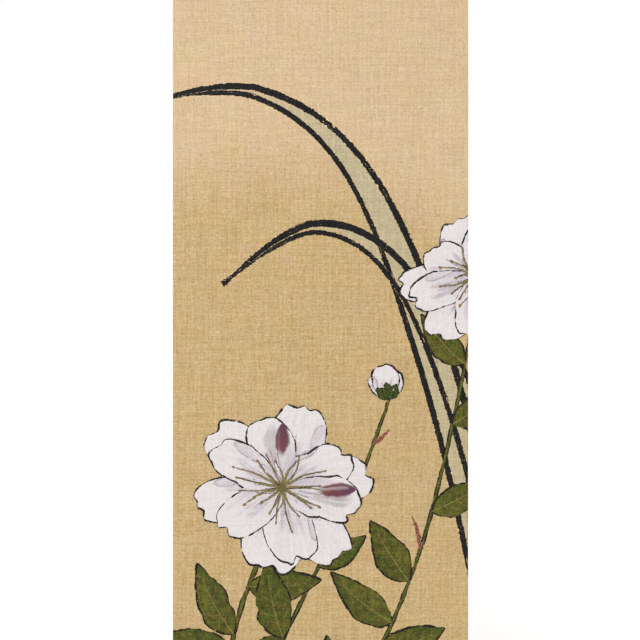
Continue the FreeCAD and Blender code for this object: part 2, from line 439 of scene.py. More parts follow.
def uneven_hue(finish, cloth, colour, reach):
    """Slow shifts of a cloth's colour towards pink, green or blue: each of its three parts times one plus
    a noise of its own."""
    dye = finish.noise(cloth, (19, 22), (3, 8), detail=5, roughness=0.6, output="Color")
    drift = finish.vectors("MULTIPLY_ADD", dye, reach, tuple(1 - part / 2 for part in reach))
    return finish.vectors("MULTIPLY", colour, drift)


# How far the threads lighten and darken the silk where it is golden and where it is pale, in which
# colour, and how far its hue drifts.
THREAD_CONTRAST = (0.36, 0.278)
THREAD_LIGHT = (0.65, 0.66, 0.52)
SILK_DRIFT = (0.12, 0.12, 0.32)


def silk_finish():
    """Bare tan silk: the painted-in ground tone, lifted and lowered by the threads, with a few dark
    specks."""
    sheen = {"Sheen_Weight": 0.08, "Sheen_Roughness": 0.5}
    finish = Finish("Silk ground", Roughness=0.72, Specular_IOR_Level=0.25, **sheen)
    cloth = finish.map_of("cloth")
    tone, _, height = woven_threads(finish, cloth)
    light = finish.scaled(THREAD_LIGHT, tone * finish.attribute("ground", "Alpha"))
    colour = uneven_hue(finish, cloth, finish.vectors("ADD", finish.attribute("ground"), light), SILK_DRIFT)
    specks = finish.noise(cloth, (310, 420), (11, 4), detail=1)
    colour = finish.mix(finish.spread(specks, 0.69, 0.8, 0, 0.5), colour, linear(146, 112, 70))
    return finish.done(colour, normal=finish.bump(height, SILK_GRAIN, 0.6))


def paint_finish(name, roughness=0.8, weave=0.3, mottle=0.0, streaks=0.0, grain=0.0, dry=0.0, patches=None):
    """Paint on silk. The tint's alpha is its cover: where that is thin the paint stays on the thread tops
    only, and the ground shows between. Weave is how far the threads show, mottle is soft light and dark,
    streaks run along a shape, dry is how far the bristles part, and patches is a colour that breaks
    through here and there."""
    finish = Finish(name, Roughness=roughness, Specular_IOR_Level=0.2)
    cloth = finish.map_of("cloth")
    tone, pattern, height = woven_threads(finish, cloth)
    tint, under = finish.attribute("tint"), finish.attribute("under")
    cover = finish.attribute("tint", "Alpha")
    if patches:
        broken = finish.noise(cloth, (55, 70), (5, 2), detail=4, roughness=0.7)
        tint = finish.mix(finish.spread(broken, 0.5, 0.68, 0, 0.55), tint, patches)
    if mottle:
        clouds = finish.noise(cloth, (90, 90), detail=4, roughness=0.6)
        tint = finish.scaled(tint, finish.spread(clouds, 0.3, 0.7, 1 - mottle, 1 + mottle))
    if streaks:
        drawn = finish.noise(finish.map_of("stroke"), (2.2, 26), detail=3)
        tint = finish.scaled(tint, finish.spread(drawn, 0.25, 0.75, 1 - streaks, 1 + streaks))
    gap = cover - pattern * (1 + grain)
    if dry:
        gap -= finish.spread(finish.noise(finish.map_of("stroke"), (38, 7)), 0.56, 0.78, 0, dry)
    colour = finish.mix(finish.spread(gap, -0.05, 0.05), under, tint)
    colour = finish.scaled(colour, tone * weave + 1)
    return finish.done(colour, normal=finish.bump(height, PAINT_GRAIN, 0.5))


# The edge between the golden silk and the pale: its height, how far it swings and ripples, and its depth.
PALE_FROM, PALE_SWING, PALE_RIPPLE, PALE_DEPTH = 1.06, 0.07, 0.025, 0.17
# How much the slow clouds lighten and darken the silk.
CLOUD_SHARE = 0.012


def paleness(across, up):
    """How pale the bare silk is: nought below, one above, with a soft wavering edge between."""
    edge = PALE_FROM + PALE_SWING * np.sin(4.2 * across + 0.9) + PALE_RIPPLE * np.sin(11 * across)
    return smooth((up - edge) / PALE_DEPTH + 0.5)


def ground_tone(across, up):
    """Bare silk, golden below and paler above, with slow clouds."""
    silk = bpy.context.scene.screen_silk
    clouds = np.sin(9 * across + 5 * up + 1) * np.sin(7 * up - 4 * across) * CLOUD_SHARE
    tone = blend_colours(tuple(silk.lower), tuple(silk.upper), paleness(across, up))
    return tone * (1 + clouds[..., None])


# The grid's step down the sides of a panel and over the hem.
SIDE_STEP, HEM_STEP = 0.004, 0.006


def silk_surface(board, radius, cell):
    """The cover's outer face: a flat grid on the front, and round its rim a profile that goes over the
    rounded edge, across the side, over the back edge and onto the back as a hem. A point is the rim point
    moved out along the rim's normal, or for the hem the rim point held inside the inset rectangle, which
    makes the mitres."""
    width, depth, height = board.width, board.depth, board.height
    across = grid_lines(radius, width - radius, cell, (POCKET_DEPTH, width - POCKET_DEPTH))
    up = grid_lines(radius, height - radius, cell, [z for box in board.pockets() for z in box[2]])
    x, z = np.meshgrid(across, up)
    face = np.stack([x, np.zeros_like(x), z], -1).reshape(-1, 3)

    sides = (
        (across, np.full_like(across, up[0]), -90),
        (np.full_like(up, across[-1]), up, 0),
        (across[::-1], np.full_like(across, up[-1]), 90),
        (np.full_like(up, across[0]), up[::-1], 180),
    )
    quarter = np.linspace(0, 90, 5)
    rim = []
    for side_x, side_z, angle in sides:
        rim.append(np.stack([side_x, side_z, np.full_like(side_x, angle)], -1))
        rim.append(np.array([[side_x[-1], side_z[-1], angle + turn] for turn in quarter[1:-1]]))
    rim = np.concatenate([*rim, rim[0][:1]])
    normal = np.stack([np.cos(np.radians(rim[:, 2])), np.sin(np.radians(rim[:, 2]))], -1)

    turn = np.radians(quarter)
    side_y = grid_lines(radius, depth - radius, SIDE_STEP, (POCKET_REACH, depth - POCKET_REACH))[1:-1]
    hem = radius - grid_lines(radius, HEM, HEM_STEP, (POCKET_DEPTH,))[1:]
    out = np.concatenate([radius * np.sin(turn), np.full(len(side_y), radius), radius * np.cos(turn), hem])
    deep = np.concatenate(
        [radius * (1 - np.cos(turn)), side_y, depth - radius * (1 - np.sin(turn)), np.full(len(hem), depth)]
    )
    run = np.concatenate([[0], np.cumsum(np.hypot(np.diff(out), np.diff(deep)))])
    inset = np.maximum(radius - out, radius)[None, :]
    moved = normal[:, None] * np.maximum(out, 0)[None, :, None]
    border_x = np.clip(rim[:, 0, None], inset, width - inset) + moved[..., 0]
    border_z = np.clip(rim[:, 1, None], inset, height - inset) + moved[..., 1]
    border = np.stack([border_x, np.broadcast_to(deep, border_x.shape), border_z], -1).reshape(-1, 3)
    border_map = (rim[:, None, :2] + normal[:, None] * run[None, :, None]).reshape(-1, 2)

    points = np.concatenate([face, border])
    quads = np.concatenate([quads_of(len(up), len(across)), quads_of(len(rim), len(out)) + len(face)])
    middles = points[quads].mean(1)
    cut = np.zeros(len(quads), bool)
    for box in board.pockets():
        cut |= np.all([(middles[:, i] > box[i][0]) & (middles[:, i] < box[i][1]) for i in range(3)], axis=0)
    return points, quads[~cut], np.concatenate([face[:, [0, 2]], border_map])


def make_silk_covers():
    """A cover of woven silk round each panel. Its ground colour carries the threads' contrast as its
    alpha."""
    silk = bpy.context.scene.screen_silk
    finish = silk_finish()
    for board in BOARDS.values():
        points, quads, cloth = silk_surface(board, silk.edge_radius, silk.cell)
        across, up = np.clip(cloth[:, 0], 0, WIDTH) + WIDTH * (board.number - 1), cloth[:, 1]
        contrast = np.interp(paleness(across, up), (0, 1), THREAD_CONTRAST)
        ground = np.column_stack([ground_tone(across, up), contrast])
        name = f"silk_cover_{board.number}"
        cover = new_piece(name, board.place(points), quads, {"cloth": cloth}, {"ground": ground})
        merge_seams(cover)
        thicken(cover, silk.thickness)
        settle(cover, board, finish, board.node("silk_cover"))
        turned_over = 2 * (board.depth + HEM)
        board.node("front_board")
        board.node("back_board")


def curve_through(marks, step):
    """A smooth curve through the marks (each span a cubic whose slope at a mark is half the step between
    the marks beside it), as points an even step apart."""
    marks = np.asarray(marks, float)
    at = np.linspace(0, len(marks) - 1, 60 * len(marks))
    span = np.minimum(at.astype(int), len(marks) - 2)
    t = (at - span)[:, None]
    before, first, second, after = (marks[np.clip(span + i, 0, len(marks) - 1)] for i in (-1, 0, 1, 2))
    slope, lift = second - before, 2 * before - 5 * first + 4 * second - after
    fine = 0.5 * (2 * first + slope * t + lift * t**2 + (3 * (first - second) + after - before) * t**3)
    run = np.concatenate([[0], np.cumsum(np.linalg.norm(np.diff(fine, axis=0), axis=1))])
    even = np.linspace(0, run[-1], max(4, int(run[-1] / step) + 1))
    return np.stack([np.interp(even, run, fine[:, i]) for i in (0, 1)], -1)


def length_of(path):
    return np.linalg.norm(np.diff(path, axis=0), axis=1).sum()


def wander(count, knots, rng):
    """Smooth random values about nought: random knots with a smooth step from each to the next."""
    knots = max(1, int(knots))
    values = rng.standard_normal(knots + 1)
    at = np.linspace(0, knots, count)
    first = np.minimum(at.astype(int), knots - 1)
    t = smooth(at - first)
    return values[first] * (1 - t) + values[first + 1] * t


# The width below which a line doesn't fall between its ends, so that it stays in one piece, and the
# lengths over which a brushed edge wavers.
HAIRLINE = 0.00002
SLOW_WAVER, QUICK_WAVER = 0.003, 0.0014


def ribbon(path, width, rng, ragged=0.0, columns=3):
    """A band along a path: each path point moved sideways by v times half the width, with v from -1 to 1.
    Each edge wavers by itself, by ragged times the widest half."""
    along = np.gradient(path, axis=0)
    along /= np.linalg.norm(along, axis=1, keepdims=True) + 1e-12
    sideways = np.stack([-along[:, 1], along[:, 0]], -1)
    half = np.broadcast_to(np.asarray(width, float) / 2, (len(path),))
    least, count, reach = HAIRLINE / 2, len(path), length_of(path)
    reaches = []
    for _ in (LEFT, RIGHT):
        shake = wander(count, reach / SLOW_WAVER, rng) + 0.6 * wander(count, reach / QUICK_WAVER, rng)
        edge = half + ragged * half.max() * shake * (half > least)
        reaches.append(np.maximum(edge, np.minimum(half, least))[:, None])
    left, right = path + sideways * reaches[0], path - sideways * reaches[1]
    v = np.linspace(0, 1, columns)[None, :, None]
    return right[:, None] * (1 - v) + left[:, None] * v


def places_on(shape, v_low=-1):
    """Two grids like a shape's: u from 0 to 1 down its rows, and v from v_low to 1 along its columns."""
    rows, columns = shape.shape[:2]
    return np.meshgrid(np.linspace(0, 1, rows), np.linspace(v_low, 1, columns), indexing="ij")


class Films:
    """Thin films of one kind of paint, gathered on the wide picture and cut at the panels' edges."""

    # How far paint keeps off an edge, and off one with barrels at the front.
    EDGE, HINGED_EDGE = 0.0004, 0.0022
    THICKNESS = 0.000012
    # How many shapes in a row lie at heights of their own.
    PARTINGS = 7

    def __init__(self, kind, finish, parting=0.0):
        """The parting lifts each shape a hair more than the last, so that two which share a point don't
        join."""
        self.kind, self.finish, self.shapes, self.parting = kind, finish, [], parting

    def lay(self, grid, colour, lift, cover=1.3, under=None, stroke_shift=0.0):
        """Adds a shape: a grid of places on the wide picture, its colours, and its height over the silk."""
        lift += self.parting * (len(self.shapes) % self.PARTINGS)
        tint, below = np.empty((*grid.shape[:2], 4)), np.ones((*grid.shape[:2], 4))
        tint[..., :3] = colour
        tint[..., 3] = cover
        below[..., :3] = ground_tone(grid[..., 0], grid[..., 1]) if under is None else under
        u, v = places_on(grid, 0)
        stroke = np.stack([u + stroke_shift, v + stroke_shift * 1.7], -1)
        a, b = grid[1:, :-1] - grid[:-1, :-1], grid[:-1, 1:] - grid[:-1, :-1]
        facing = (b[..., 0] * a[..., 1] - b[..., 1] * a[..., 0]).sum()
        quads = quads_of(*grid.shape[:2])
        looks = (stroke.reshape(-1, 2), tint.reshape(-1, 4), below.reshape(-1, 4))
        self.shapes.append((grid.reshape(-1, 2), quads if facing > 0 else quads[:, ::-1], lift, looks))

    def limits(self, board):
        """The lowest and highest place of paint on a panel, which keeps off an edge with barrels at the
        front."""
        low, high = np.full(2, self.EDGE), np.array([board.width - self.EDGE, board.height - self.EDGE])
        for edge, face in HINGED_EDGES[board.number]:
            if face == FRONT and edge == LEFT:
                low[0] = self.HINGED_EDGE
            elif face == FRONT:
                high[0] = board.width - self.HINGED_EDGE
        return low, high

    def make(self):
        """Makes one piece for each panel that the shapes reach. A quad that stands over an edge is
        pressed back to it."""
        for board in BOARDS.values():
            low, high = self.limits(board)
            parts, count = [], 0
            for places, quads, lift, looks in self.shapes:
                local = places - [WIDTH * (board.number - 1), board.corner[2]]
                corners = local[quads]
                shown = np.all((corners.min(1) < high) & (corners.max(1) > low), axis=1)
                if not shown.any():
                    continue
                held = np.clip(local, low, high)
                points = np.stack([held[:, 0], np.full(len(held), -lift), held[:, 1]], -1)
                parts.append((points, quads[shown] + count, held, *looks))
                count += len(points)
            if not parts:
                continue
            points, quads, cloth, stroke, tint, below = (np.concatenate(columns) for columns in zip(*parts))
            maps, colours = {"cloth": cloth, "stroke": stroke}, {"tint": tint, "under": below}
            film = new_piece(f"{self.kind}_{board.number}", board.place(points), quads, maps, colours)
            merge_seams(film, FILM_SEAM_REACH)
            thicken(film, self.THICKNESS)
            settle(film, board, self.finish)


def paints():
    """The painting's colours by their names."""
    paint = bpy.context.scene.screen_paint
    return SimpleNamespace(**{name: tuple(getattr(paint, name)) for name in PaintSettings.__annotations__})


# Heights of the paint films over the silk, in the order in which they were painted, and the steps between
# shapes of one kind.
WASH_LIFT, WASH_STEP = 0.00004, 0.00001
INK_LIFT, INK_STEP = 0.00008, 0.000005
STEM_LIFT, TWIG_STEP = 0.00012, 0.00001
# The leaves take turns at so many heights.
LEAF_LIFT, LEAF_STEP, LEAF_STEPS = 0.00015, 0.00002, 12
PETAL_LIFT, PETAL_STEP = 0.00042, 0.000024
STAMEN_LIFT, STAMEN_STEP = 0.00078, 0.000006
VEIN_OVER_LEAF, STAIN_OVER_PETAL, LINE_OVER_SHAPE, LINE_OVER_STAMEN = 0.000007, 0.000007, 0.000013, 0.000003
LINE_PARTING = 0.0000004
# Steps between the points of a path, and the seeds of the random draws.
BLADE_PATH, STEM_PATH, TWIG_PATH = 0.0015, 0.002, 0.0012
OUTLINE_PATH, PETAL_PATH, VEIN_PATH = 0.0016, 0.0022, 0.0025
GRASS_SEED, LEAF_SEEDS, BLOSSOM_SEEDS, SCREW_SEED = 11, (23, 24), (37, 38), 5

# Grass blades: the marks that each runs through, from its root to its tip, and its greatest width.
BLADES = (
    (((0.56, -0.02), (0.5, 0.42), (0.405, 0.84), (0.285, 1.14), (0.13, 1.265), (-0.05, 1.25)), 0.05),
    (((0.55, -0.02), (0.525, 0.4), (0.45, 0.76), (0.345, 0.99), (0.215, 1.06), (0.075, 0.975)), 0.044),
    (((0.58, -0.02), (0.61, 0.5), (0.69, 0.96), (0.84, 1.29), (1.05, 1.4)), 0.05),
    (((0.6, -0.02), (0.68, 0.42), (0.8, 0.74), (0.96, 0.9), (1.1, 0.87)), 0.042),
    (((1.31, -0.02), (1.27, 0.5), (1.17, 1.0), (1.03, 1.33), (0.86, 1.46)), 0.048),
    (((1.33, -0.02), (1.33, 0.6), (1.28, 1.05), (1.19, 1.3)), 0.038),
)
# A blade's two ink lines: the edge's column, the greatest width, and the share of the blade at which it
# lifts off.
BLADE_LINES = ((0, 0.0105, 1.0), (-1, 0.0088, 0.965))
BLADE_COLUMNS = 7


def paint_grasses():
    """Long arching blades: a pale wash between a bold ink line on one edge and a lighter one on the
    other. The bold one ends in a pressed tip."""
    paint, rng = paints(), np.random.default_rng(GRASS_SEED)
    washes = Films("grass_wash", paint_finish("Thin wash", weave=0.4, mottle=0.03))
    ink = paint_finish("Brush ink", roughness=0.62, weave=2.6, mottle=0.35, grain=0.3, dry=0.3)
    lines = Films("grass_ink", ink)
    v = np.linspace(-1, 1, BLADE_COLUMNS)[None]
    for marks, widest in BLADES:
        path = curve_through(marks, BLADE_PATH)
        t = np.linspace(0, 1, len(path))
        width = widest * smooth((1 - t) / 0.42) ** 0.75 * (0.55 + 0.45 * smooth(t / 0.4))
        band = ribbon(path, width, rng, 0.0, BLADE_COLUMNS)
        fade = smooth((0.93 - t) / 0.12)[:, None]
        colour = blend_colours(ground_tone(band[..., 0], band[..., 1]), paint.wash, 0.9 * fade)
        washes.lay(band[::3], colour[::3], WASH_LIFT + WASH_STEP * len(washes.shapes))
        for side, thickest, stop in BLADE_LINES:
            press = 1 + 0.12 * wander(len(path), 9, rng)
            thick = thickest * press * smooth((stop - t) / 0.05) ** 0.6 * smooth((t + 0.02) / 0.04)
            if side == 0:
                tip = thickest * (0.62 + 0.5 * np.exp(-(((1 - t) / 0.009) ** 2)))
                thick = np.maximum(thick, tip * (t > 0.9))
            line = ribbon(band[:, side], thick, rng, 0.05, BLADE_COLUMNS)
            dry = np.clip(wander(len(path), 26, rng), -1.5, 1.5)[:, None]
            lifting = smooth((t[:, None] - stop + 0.12) / 0.12)
            cover = 1.03 + 0.06 * dry - 0.42 * np.abs(v) ** 6 - 0.1 * lifting
            lift = INK_LIFT + INK_STEP * len(lines.shapes)
            lines.lay(line, paint.ink, lift, cover, stroke_shift=rng.uniform(0, 9))
    washes.make()
    lines.make()


# Stems: the marks that each runs through, and its width at the root and at the end.
STEMS = (
    (((0.06, -0.02), (0.115, 0.22), (0.09, 0.42), (0.15, 0.6)), 0.0085, 0.006),
    (((0.1, 0.3), (0.2, 0.5), (0.285, 0.68), (0.33, 0.8)), 0.006, 0.004),
    (((0.115, 0.18), (0.27, 0.34), (0.37, 0.55), (0.43, 0.78), (0.46, 0.94)), 0.0065, 0.0045),
    (((0.7, -0.02), (0.66, 0.2), (0.71, 0.42), (0.735, 0.56)), 0.008, 0.006),
    (((0.67, 0.16), (0.79, 0.3), (0.84, 0.48)), 0.006, 0.004),
    (((1.02, -0.02), (1.08, 0.3), (1.05, 0.55), (1.14, 0.78)), 0.009, 0.006),
    (((1.075, 0.34), (1.19, 0.5), (1.26, 0.7)), 0.006, 0.004),
    (((1.05, 0.55), (0.97, 0.76), (0.965, 1.0), (1.0, 1.12)), 0.006, 0.004),
)

# Leaves: the stem, how far along it, the turn from the stem's direction in degrees, the length and the
# width share.
LEAVES = (
    (0, 0.35, 60, 0.13, 0.4), (0, 0.48, -62, 0.12, 0.42), (0, 0.62, 58, 0.115, 0.42),
    (0, 0.74, -50, 0.12, 0.4), (0, 0.7, -88, 0.125, 0.4), (0, 0.86, 74, 0.11, 0.44),
    (2, 0.42, -84, 0.12, 0.38), (2, 0.3, 76, 0.125, 0.4), (1, 0.28, -48, 0.12, 0.42),
    (1, 0.5, 40, 0.085, 0.42), (1, 0.72, -56, 0.075, 0.42), (2, 0.22, -50, 0.13, 0.4),
    (2, 0.36, 48, 0.11, 0.42), (2, 0.5, -58, 0.11, 0.42), (2, 0.63, 52, 0.1, 0.4),
    (2, 0.79, 48, 0.085, 0.42), (2, 0.9, -62, 0.1, 0.42), (3, 0.4, 60, 0.13, 0.4),
    (3, 0.55, -58, 0.12, 0.42), (3, 0.72, 62, 0.11, 0.42), (3, 0.88, -66, 0.11, 0.42),
    (4, 0.4, 46, 0.1, 0.4), (4, 0.66, -52, 0.09, 0.42), (5, 0.3, 56, 0.14, 0.4),
    (5, 0.42, -58, 0.13, 0.42), (5, 0.56, 60, 0.12, 0.42), (5, 0.7, -52, 0.12, 0.4),
    (5, 0.86, 66, 0.11, 0.42), (6, 0.35, -50, 0.11, 0.4), (6, 0.62, 44, 0.1, 0.42),
    (7, 0.4, 56, 0.1, 0.42), (7, 0.62, -52, 0.09, 0.42), (7, 0.84, 50, 0.08, 0.42),
)

# Bare red-brown twigs: the stem, how far along it, the turn from its direction in degrees, and the length.
TWIGS = (
    (1, 0.62, -30, 0.05), (1, 0.87, 26, 0.04), (2, 0.56, -32, 0.06),
    (4, 0.82, 30, 0.045), (5, 0.62, -34, 0.055), (7, 0.5, 30, 0.05),
)

# Round buds: the stem at whose end each sits, its length, and its lean in degrees.
BUDS = ((1, 0.052, 12), (4, 0.046, -18), (6, 0.05, -10))

# Blossoms: the place of the middle, the radius, the turn and the tilt, and which front petals carry a
# blush.
BLOSSOMS = (
    ((0.167, 0.665), 0.148, -18, 0.87, (0, 4)),
    ((0.462, 0.985), 0.118, 24, 0.8, (3, 5)),
    ((0.742, 0.612), 0.128, 12, 0.84, (1, 5)),
    ((1.15, 0.845), 0.145, -30, 0.82, (0, 2)),
    ((1.003, 1.165), 0.095, 35, 0.72, (4,)),
)

# Widths of the fine lines and the veins, and how fully an outline covers the threads.
STEM_LINE, LEAF_LINE, LEAF_LIGHT_LINE, RIB, VEIN = 0.0018, 0.0031, 0.0027, 0.0016, 0.0008
PETAL_LINE, INNER_LINE, FOLD_LINE, STAMEN_LINE, CUP_LINE = 0.0027, 0.0011, 0.001, 0.0011, 0.0015
OUTLINE_COVER, VEIN_COVER = 0.86, 0.9
TWIG_WIDTH = 0.0068


def turned(points, degrees, place=(0, 0), squeeze=1.0):
    """Turns points about nought, squeezes their height, and moves them to a place."""
    angle = math.radians(degrees)
    spin = np.array([[math.cos(angle), math.sin(angle)], [-math.sin(angle), math.cos(angle)]])
    return (points @ spin) * [1, squeeze] + place


def stem_path(index):
    return curve_through(STEMS[index][0], STEM_PATH)


def stem_place(index, share):
    """The place at a share of a stem, and the stem's direction there in degrees from upright."""
    path = stem_path(index)
    at = int(share * (len(path) - 2))
    return path[at], math.degrees(math.atan2(*(path[at + 1] - path[at])))


# The lengths over which an outline swells, swells quickly and breaks off.
SWELL_LENGTH, QUICK_SWELL_LENGTH, BREAK_LENGTH = 0.02, 0.006, 0.011


def outline(films, edge, thickest, colour, lift, rng, gaps, under=None, taper=0.0):
    """A fine broken line along an edge: a ribbon whose width swells and dies away at random, and grows
    from a third over a share of the way at both ends."""
    reach = length_of(edge)
    path = curve_through(edge[:: max(1, len(edge) // 60)], OUTLINE_PATH)
    count = len(path)
    swell = wander(count, reach / SWELL_LENGTH, rng) + 0.7 * wander(count, reach / QUICK_SWELL_LENGTH, rng)
    width = thickest * np.clip(0.78 + 0.34 * swell, 0, 1.25)
    width *= smooth((wander(count, reach / BREAK_LENGTH, rng) + 2.1 - 2.2 * gaps) / 0.5)
    if taper:
        t = np.linspace(0, 1, count)
        width *= 0.3 + 0.7 * smooth(np.minimum(t, 1 - t) / taper)
    width = np.maximum(width, HAIRLINE)
    width[[0, -1]] = 0
    films.lay(ribbon(path, width, rng, 0.12), colour, lift, OUTLINE_COVER, under)


def leaf_shape(length, width_share, bend, rng, rows=34, columns=9):
    """A pointed oval: x is v times a half width that swells as sin(pi u^0.85)^0.9 (1 - 0.3u), y is the
    length times u, and the whole bends sideways as u squared. The rim wavers a little."""
    u = np.linspace(0, 1, rows)[:, None]
    v = np.linspace(-1, 1, columns)[None]
    half = width_share * length / 2 * np.sin(np.pi * u**0.85).clip(0) ** 0.9 * (1 - 0.3 * u) / 0.8
    right, left = (wander(rows, 9, rng)[:, None] for _ in (RIGHT, LEFT))
    rim = 1 + 0.05 * np.where(v > 0, right, left) * np.abs(v)
    return np.stack([v * half * rim + bend * length * u**2, length * u * np.ones_like(v)], -1)


def paint_leaf_lines(lines, shape, placed, length, lift, colours, rng):
    """A leaf's two outlines, its midrib, and side veins that bow out from the rib and stop short of the
    rim."""
    ink, vein = colours
    outline(lines, placed(shape[:, 0]), LEAF_LINE, ink, lift + LINE_OVER_SHAPE, rng, gaps=0.16)
    outline(lines, placed(shape[:, -1]), LEAF_LIGHT_LINE, ink, lift + LINE_OVER_SHAPE, rng, gaps=0.28)
    rows, middle = len(shape), shape[:, shape.shape[1] // 2]
    rib = curve_through(placed(middle[: int(rows * 0.86)])[::3], VEIN_PATH)
    band = ribbon(rib, RIB * np.linspace(1, 0.3, len(rib)), rng, 0.2)
    lines.lay(band, vein, lift + VEIN_OVER_LEAF, VEIN_COVER)
    for step in range(2, 8):
        row = int(rows * step / 9.5)
        for side in (0, -1):
            start, end = middle[row], shape[min(row + 5, rows - 1), side]
            bow = (start + end) / 2 + [0, -0.03 * length]
            marks = np.array([start, bow, start + (end - start) * 0.85])
            path = curve_through(placed(marks), VEIN_PATH)
            thin = VEIN * np.linspace(1, 0.1, len(path)) * smooth(wander(len(path), 5, rng) + 1.1)
            band = ribbon(path, np.maximum(thin, HAIRLINE), rng, 0.3)
            lines.lay(band, vein, lift + VEIN_OVER_LEAF, VEIN_COVER)


def paint_leaves():
    """Stems, pointed leaves in mottled green with broken ink outlines, and dry red-brown twigs."""
    paint = paints()
    layout, rng = (np.random.default_rng(seed) for seed in LEAF_SEEDS)
    green = paint_finish(
        "Leaf paint", roughness=0.7, weave=0.9, mottle=0.26, streaks=0.16, patches=paint.leaf_brown
    )
    bodies = Films("leaf_green", green)
    fine = paint_finish("Leaf lines", roughness=0.7, weave=0.6, grain=0.35)
    lines = Films("leaf_lines", fine, LINE_PARTING)
    russet = paint_finish("Dry russet", weave=0.9, mottle=0.2, streaks=0.25, grain=0.4, dry=0.45)
    twigs = Films("russet_twigs", russet)
    vein = blend_colours(paint.leaf_warm, tuple(bpy.context.scene.screen_silk.lower), 0.3)
    for index, (_, root, tip) in enumerate(STEMS):
        path = stem_path(index)
        t = np.linspace(0, 1, len(path))
        band = ribbon(path, root + (tip - root) * t, rng, 0.1, 5)
        warmth = 0.5 + 0.3 * np.sin(9 * t)[:, None]
        bodies.lay(band, blend_colours(paint.leaf, paint.leaf_warm, warmth), STEM_LIFT)
        over = STEM_LIFT + LINE_OVER_SHAPE
        for side in (0, -1):
            outline(lines, band[:, side], STEM_LINE, paint.outline, over, rng, gaps=0.4)
    for order, (stem, share, turn, length, width_share) in enumerate(LEAVES):
        place, heading = stem_place(stem, share)
        placed = partial(turned, degrees=-(heading + turn), place=place)
        bend = layout.uniform(0.05, 0.2) * (-1 if turn > 0 else 1)
        shape = leaf_shape(length, width_share, bend, layout)
        u, v = places_on(shape)
        warmth = 0.35 + 0.4 * np.sin(3 * u + order) * v + 0.3 * (1 - u)
        warmth = warmth + 0.08 * layout.standard_normal()
        colour = blend_colours(paint.leaf, paint.leaf_warm, np.clip(warmth, 0, 1))
        lift = LEAF_LIFT + LEAF_STEP * (order % LEAF_STEPS)
        bodies.lay(placed(shape), colour, lift, stroke_shift=rng.uniform(0, 9))
        paint_leaf_lines(lines, shape, placed, length, lift, (paint.outline, vein), rng)
    v = np.linspace(-1, 1, 7)[None]
    for order, (stem, share, turn, length) in enumerate(TWIGS):
        place, heading = stem_place(stem, share)
        marks = np.array([[0, 0], [0.03 * length, 0.5 * length], [-0.02 * length, length]])
        path = curve_through(turned(marks, -(heading + turn), place), TWIG_PATH)
        t = np.linspace(0, 1, len(path))
        width = TWIG_WIDTH * smooth((1.04 - t) / 0.7) ** 0.5 * (0.7 + 0.3 * smooth(t / 0.2))
        band = ribbon(path, width, rng, 0.14, 7)
        cover = 0.96 - 0.34 * smooth((t[:, None] - 0.55) / 0.45) - 0.25 * np.abs(v) ** 4
        colour = blend_colours(paint.russet, paint.violet, 0.35 * (1 - t[:, None]))
        twigs.lay(band, colour, STEM_LIFT + TWIG_STEP * (1 + order), cover, stroke_shift=rng.uniform(0, 9))
    for films in (bodies, lines, twigs):
        films.make()


def petal_shape(length, width, bend, notch, rng, rows=36, columns=15):
    """A round-ended petal: x is v times a half width that grows as sin(pi/2 u^0.8) from a narrow claw, y
    is the length times u (1 - 0.42 g), with g = 1 - (1 - |v|^2.6)^(1/2.6), which rounds the end. The end
    wavers and has a notch, and the whole bends sideways as u squared. v is bunched towards the sides as a
    sine."""
    u = np.linspace(0, 1, rows)[:, None]
    v = np.sin(np.linspace(-np.pi / 2, np.pi / 2, columns))[None]
    rounding = 1 - (1 - np.abs(v) ** 2.6).clip(0) ** (1 / 2.6)
    half = width / 2 * (0.15 + 0.85 * np.sin(np.pi / 2 * u**0.8))
    waver = 0.016 * np.sin(5.1 * v + notch * 7) + 0.012 * np.sin(11.3 * v + notch * 13)
    waver = waver + 0.008 * wander(columns, 12, rng)[None]
    dip = 0.07 * np.exp(-(((v - notch) / 0.13) ** 2))
    y = length * (u * (1 - 0.42 * rounding) + (waver - dip) * u**7)
    side = 1 + 0.035 * wander(rows, 5, rng)[:, None] * v
    return np.stack([v * half * side + bend * length * u**2, y], -1)


def on_petal(shape, u, v):
    """Points of a petal at any u and v, straight between the points of its grid."""
    row = np.clip(u, 0, 1) * (shape.shape[0] - 1)
    column = (np.arcsin(np.clip(v, -1, 1)) / np.pi + 0.5) * (shape.shape[1] - 1)
    i, j = (np.minimum(at.astype(int), shape.shape[n] - 2) for n, at in enumerate((row, column)))
    s, t = (row - i)[..., None], (column - j)[..., None]
    near, far = (shape[i, k] * (1 - s) + shape[i + 1, k] * s for k in (j, j + 1))
    return near * (1 - t) + far * t


def crescent(shape, start, end, depth, side, rows=40, columns=7):
    """A turned edge of a petal: from its side inwards by depth times sin(pi s)^0.7 in v, with s the way
    along."""
    s = np.linspace(0, 1, rows)[:, None]
    inner = 1 - depth * np.sin(np.pi * s).clip(0) ** 0.7
    v = side * (inner + (1 - inner) * np.linspace(0, 1, columns)[None])
    return on_petal(shape, (start + (end - start) * s) * np.ones_like(v), v)


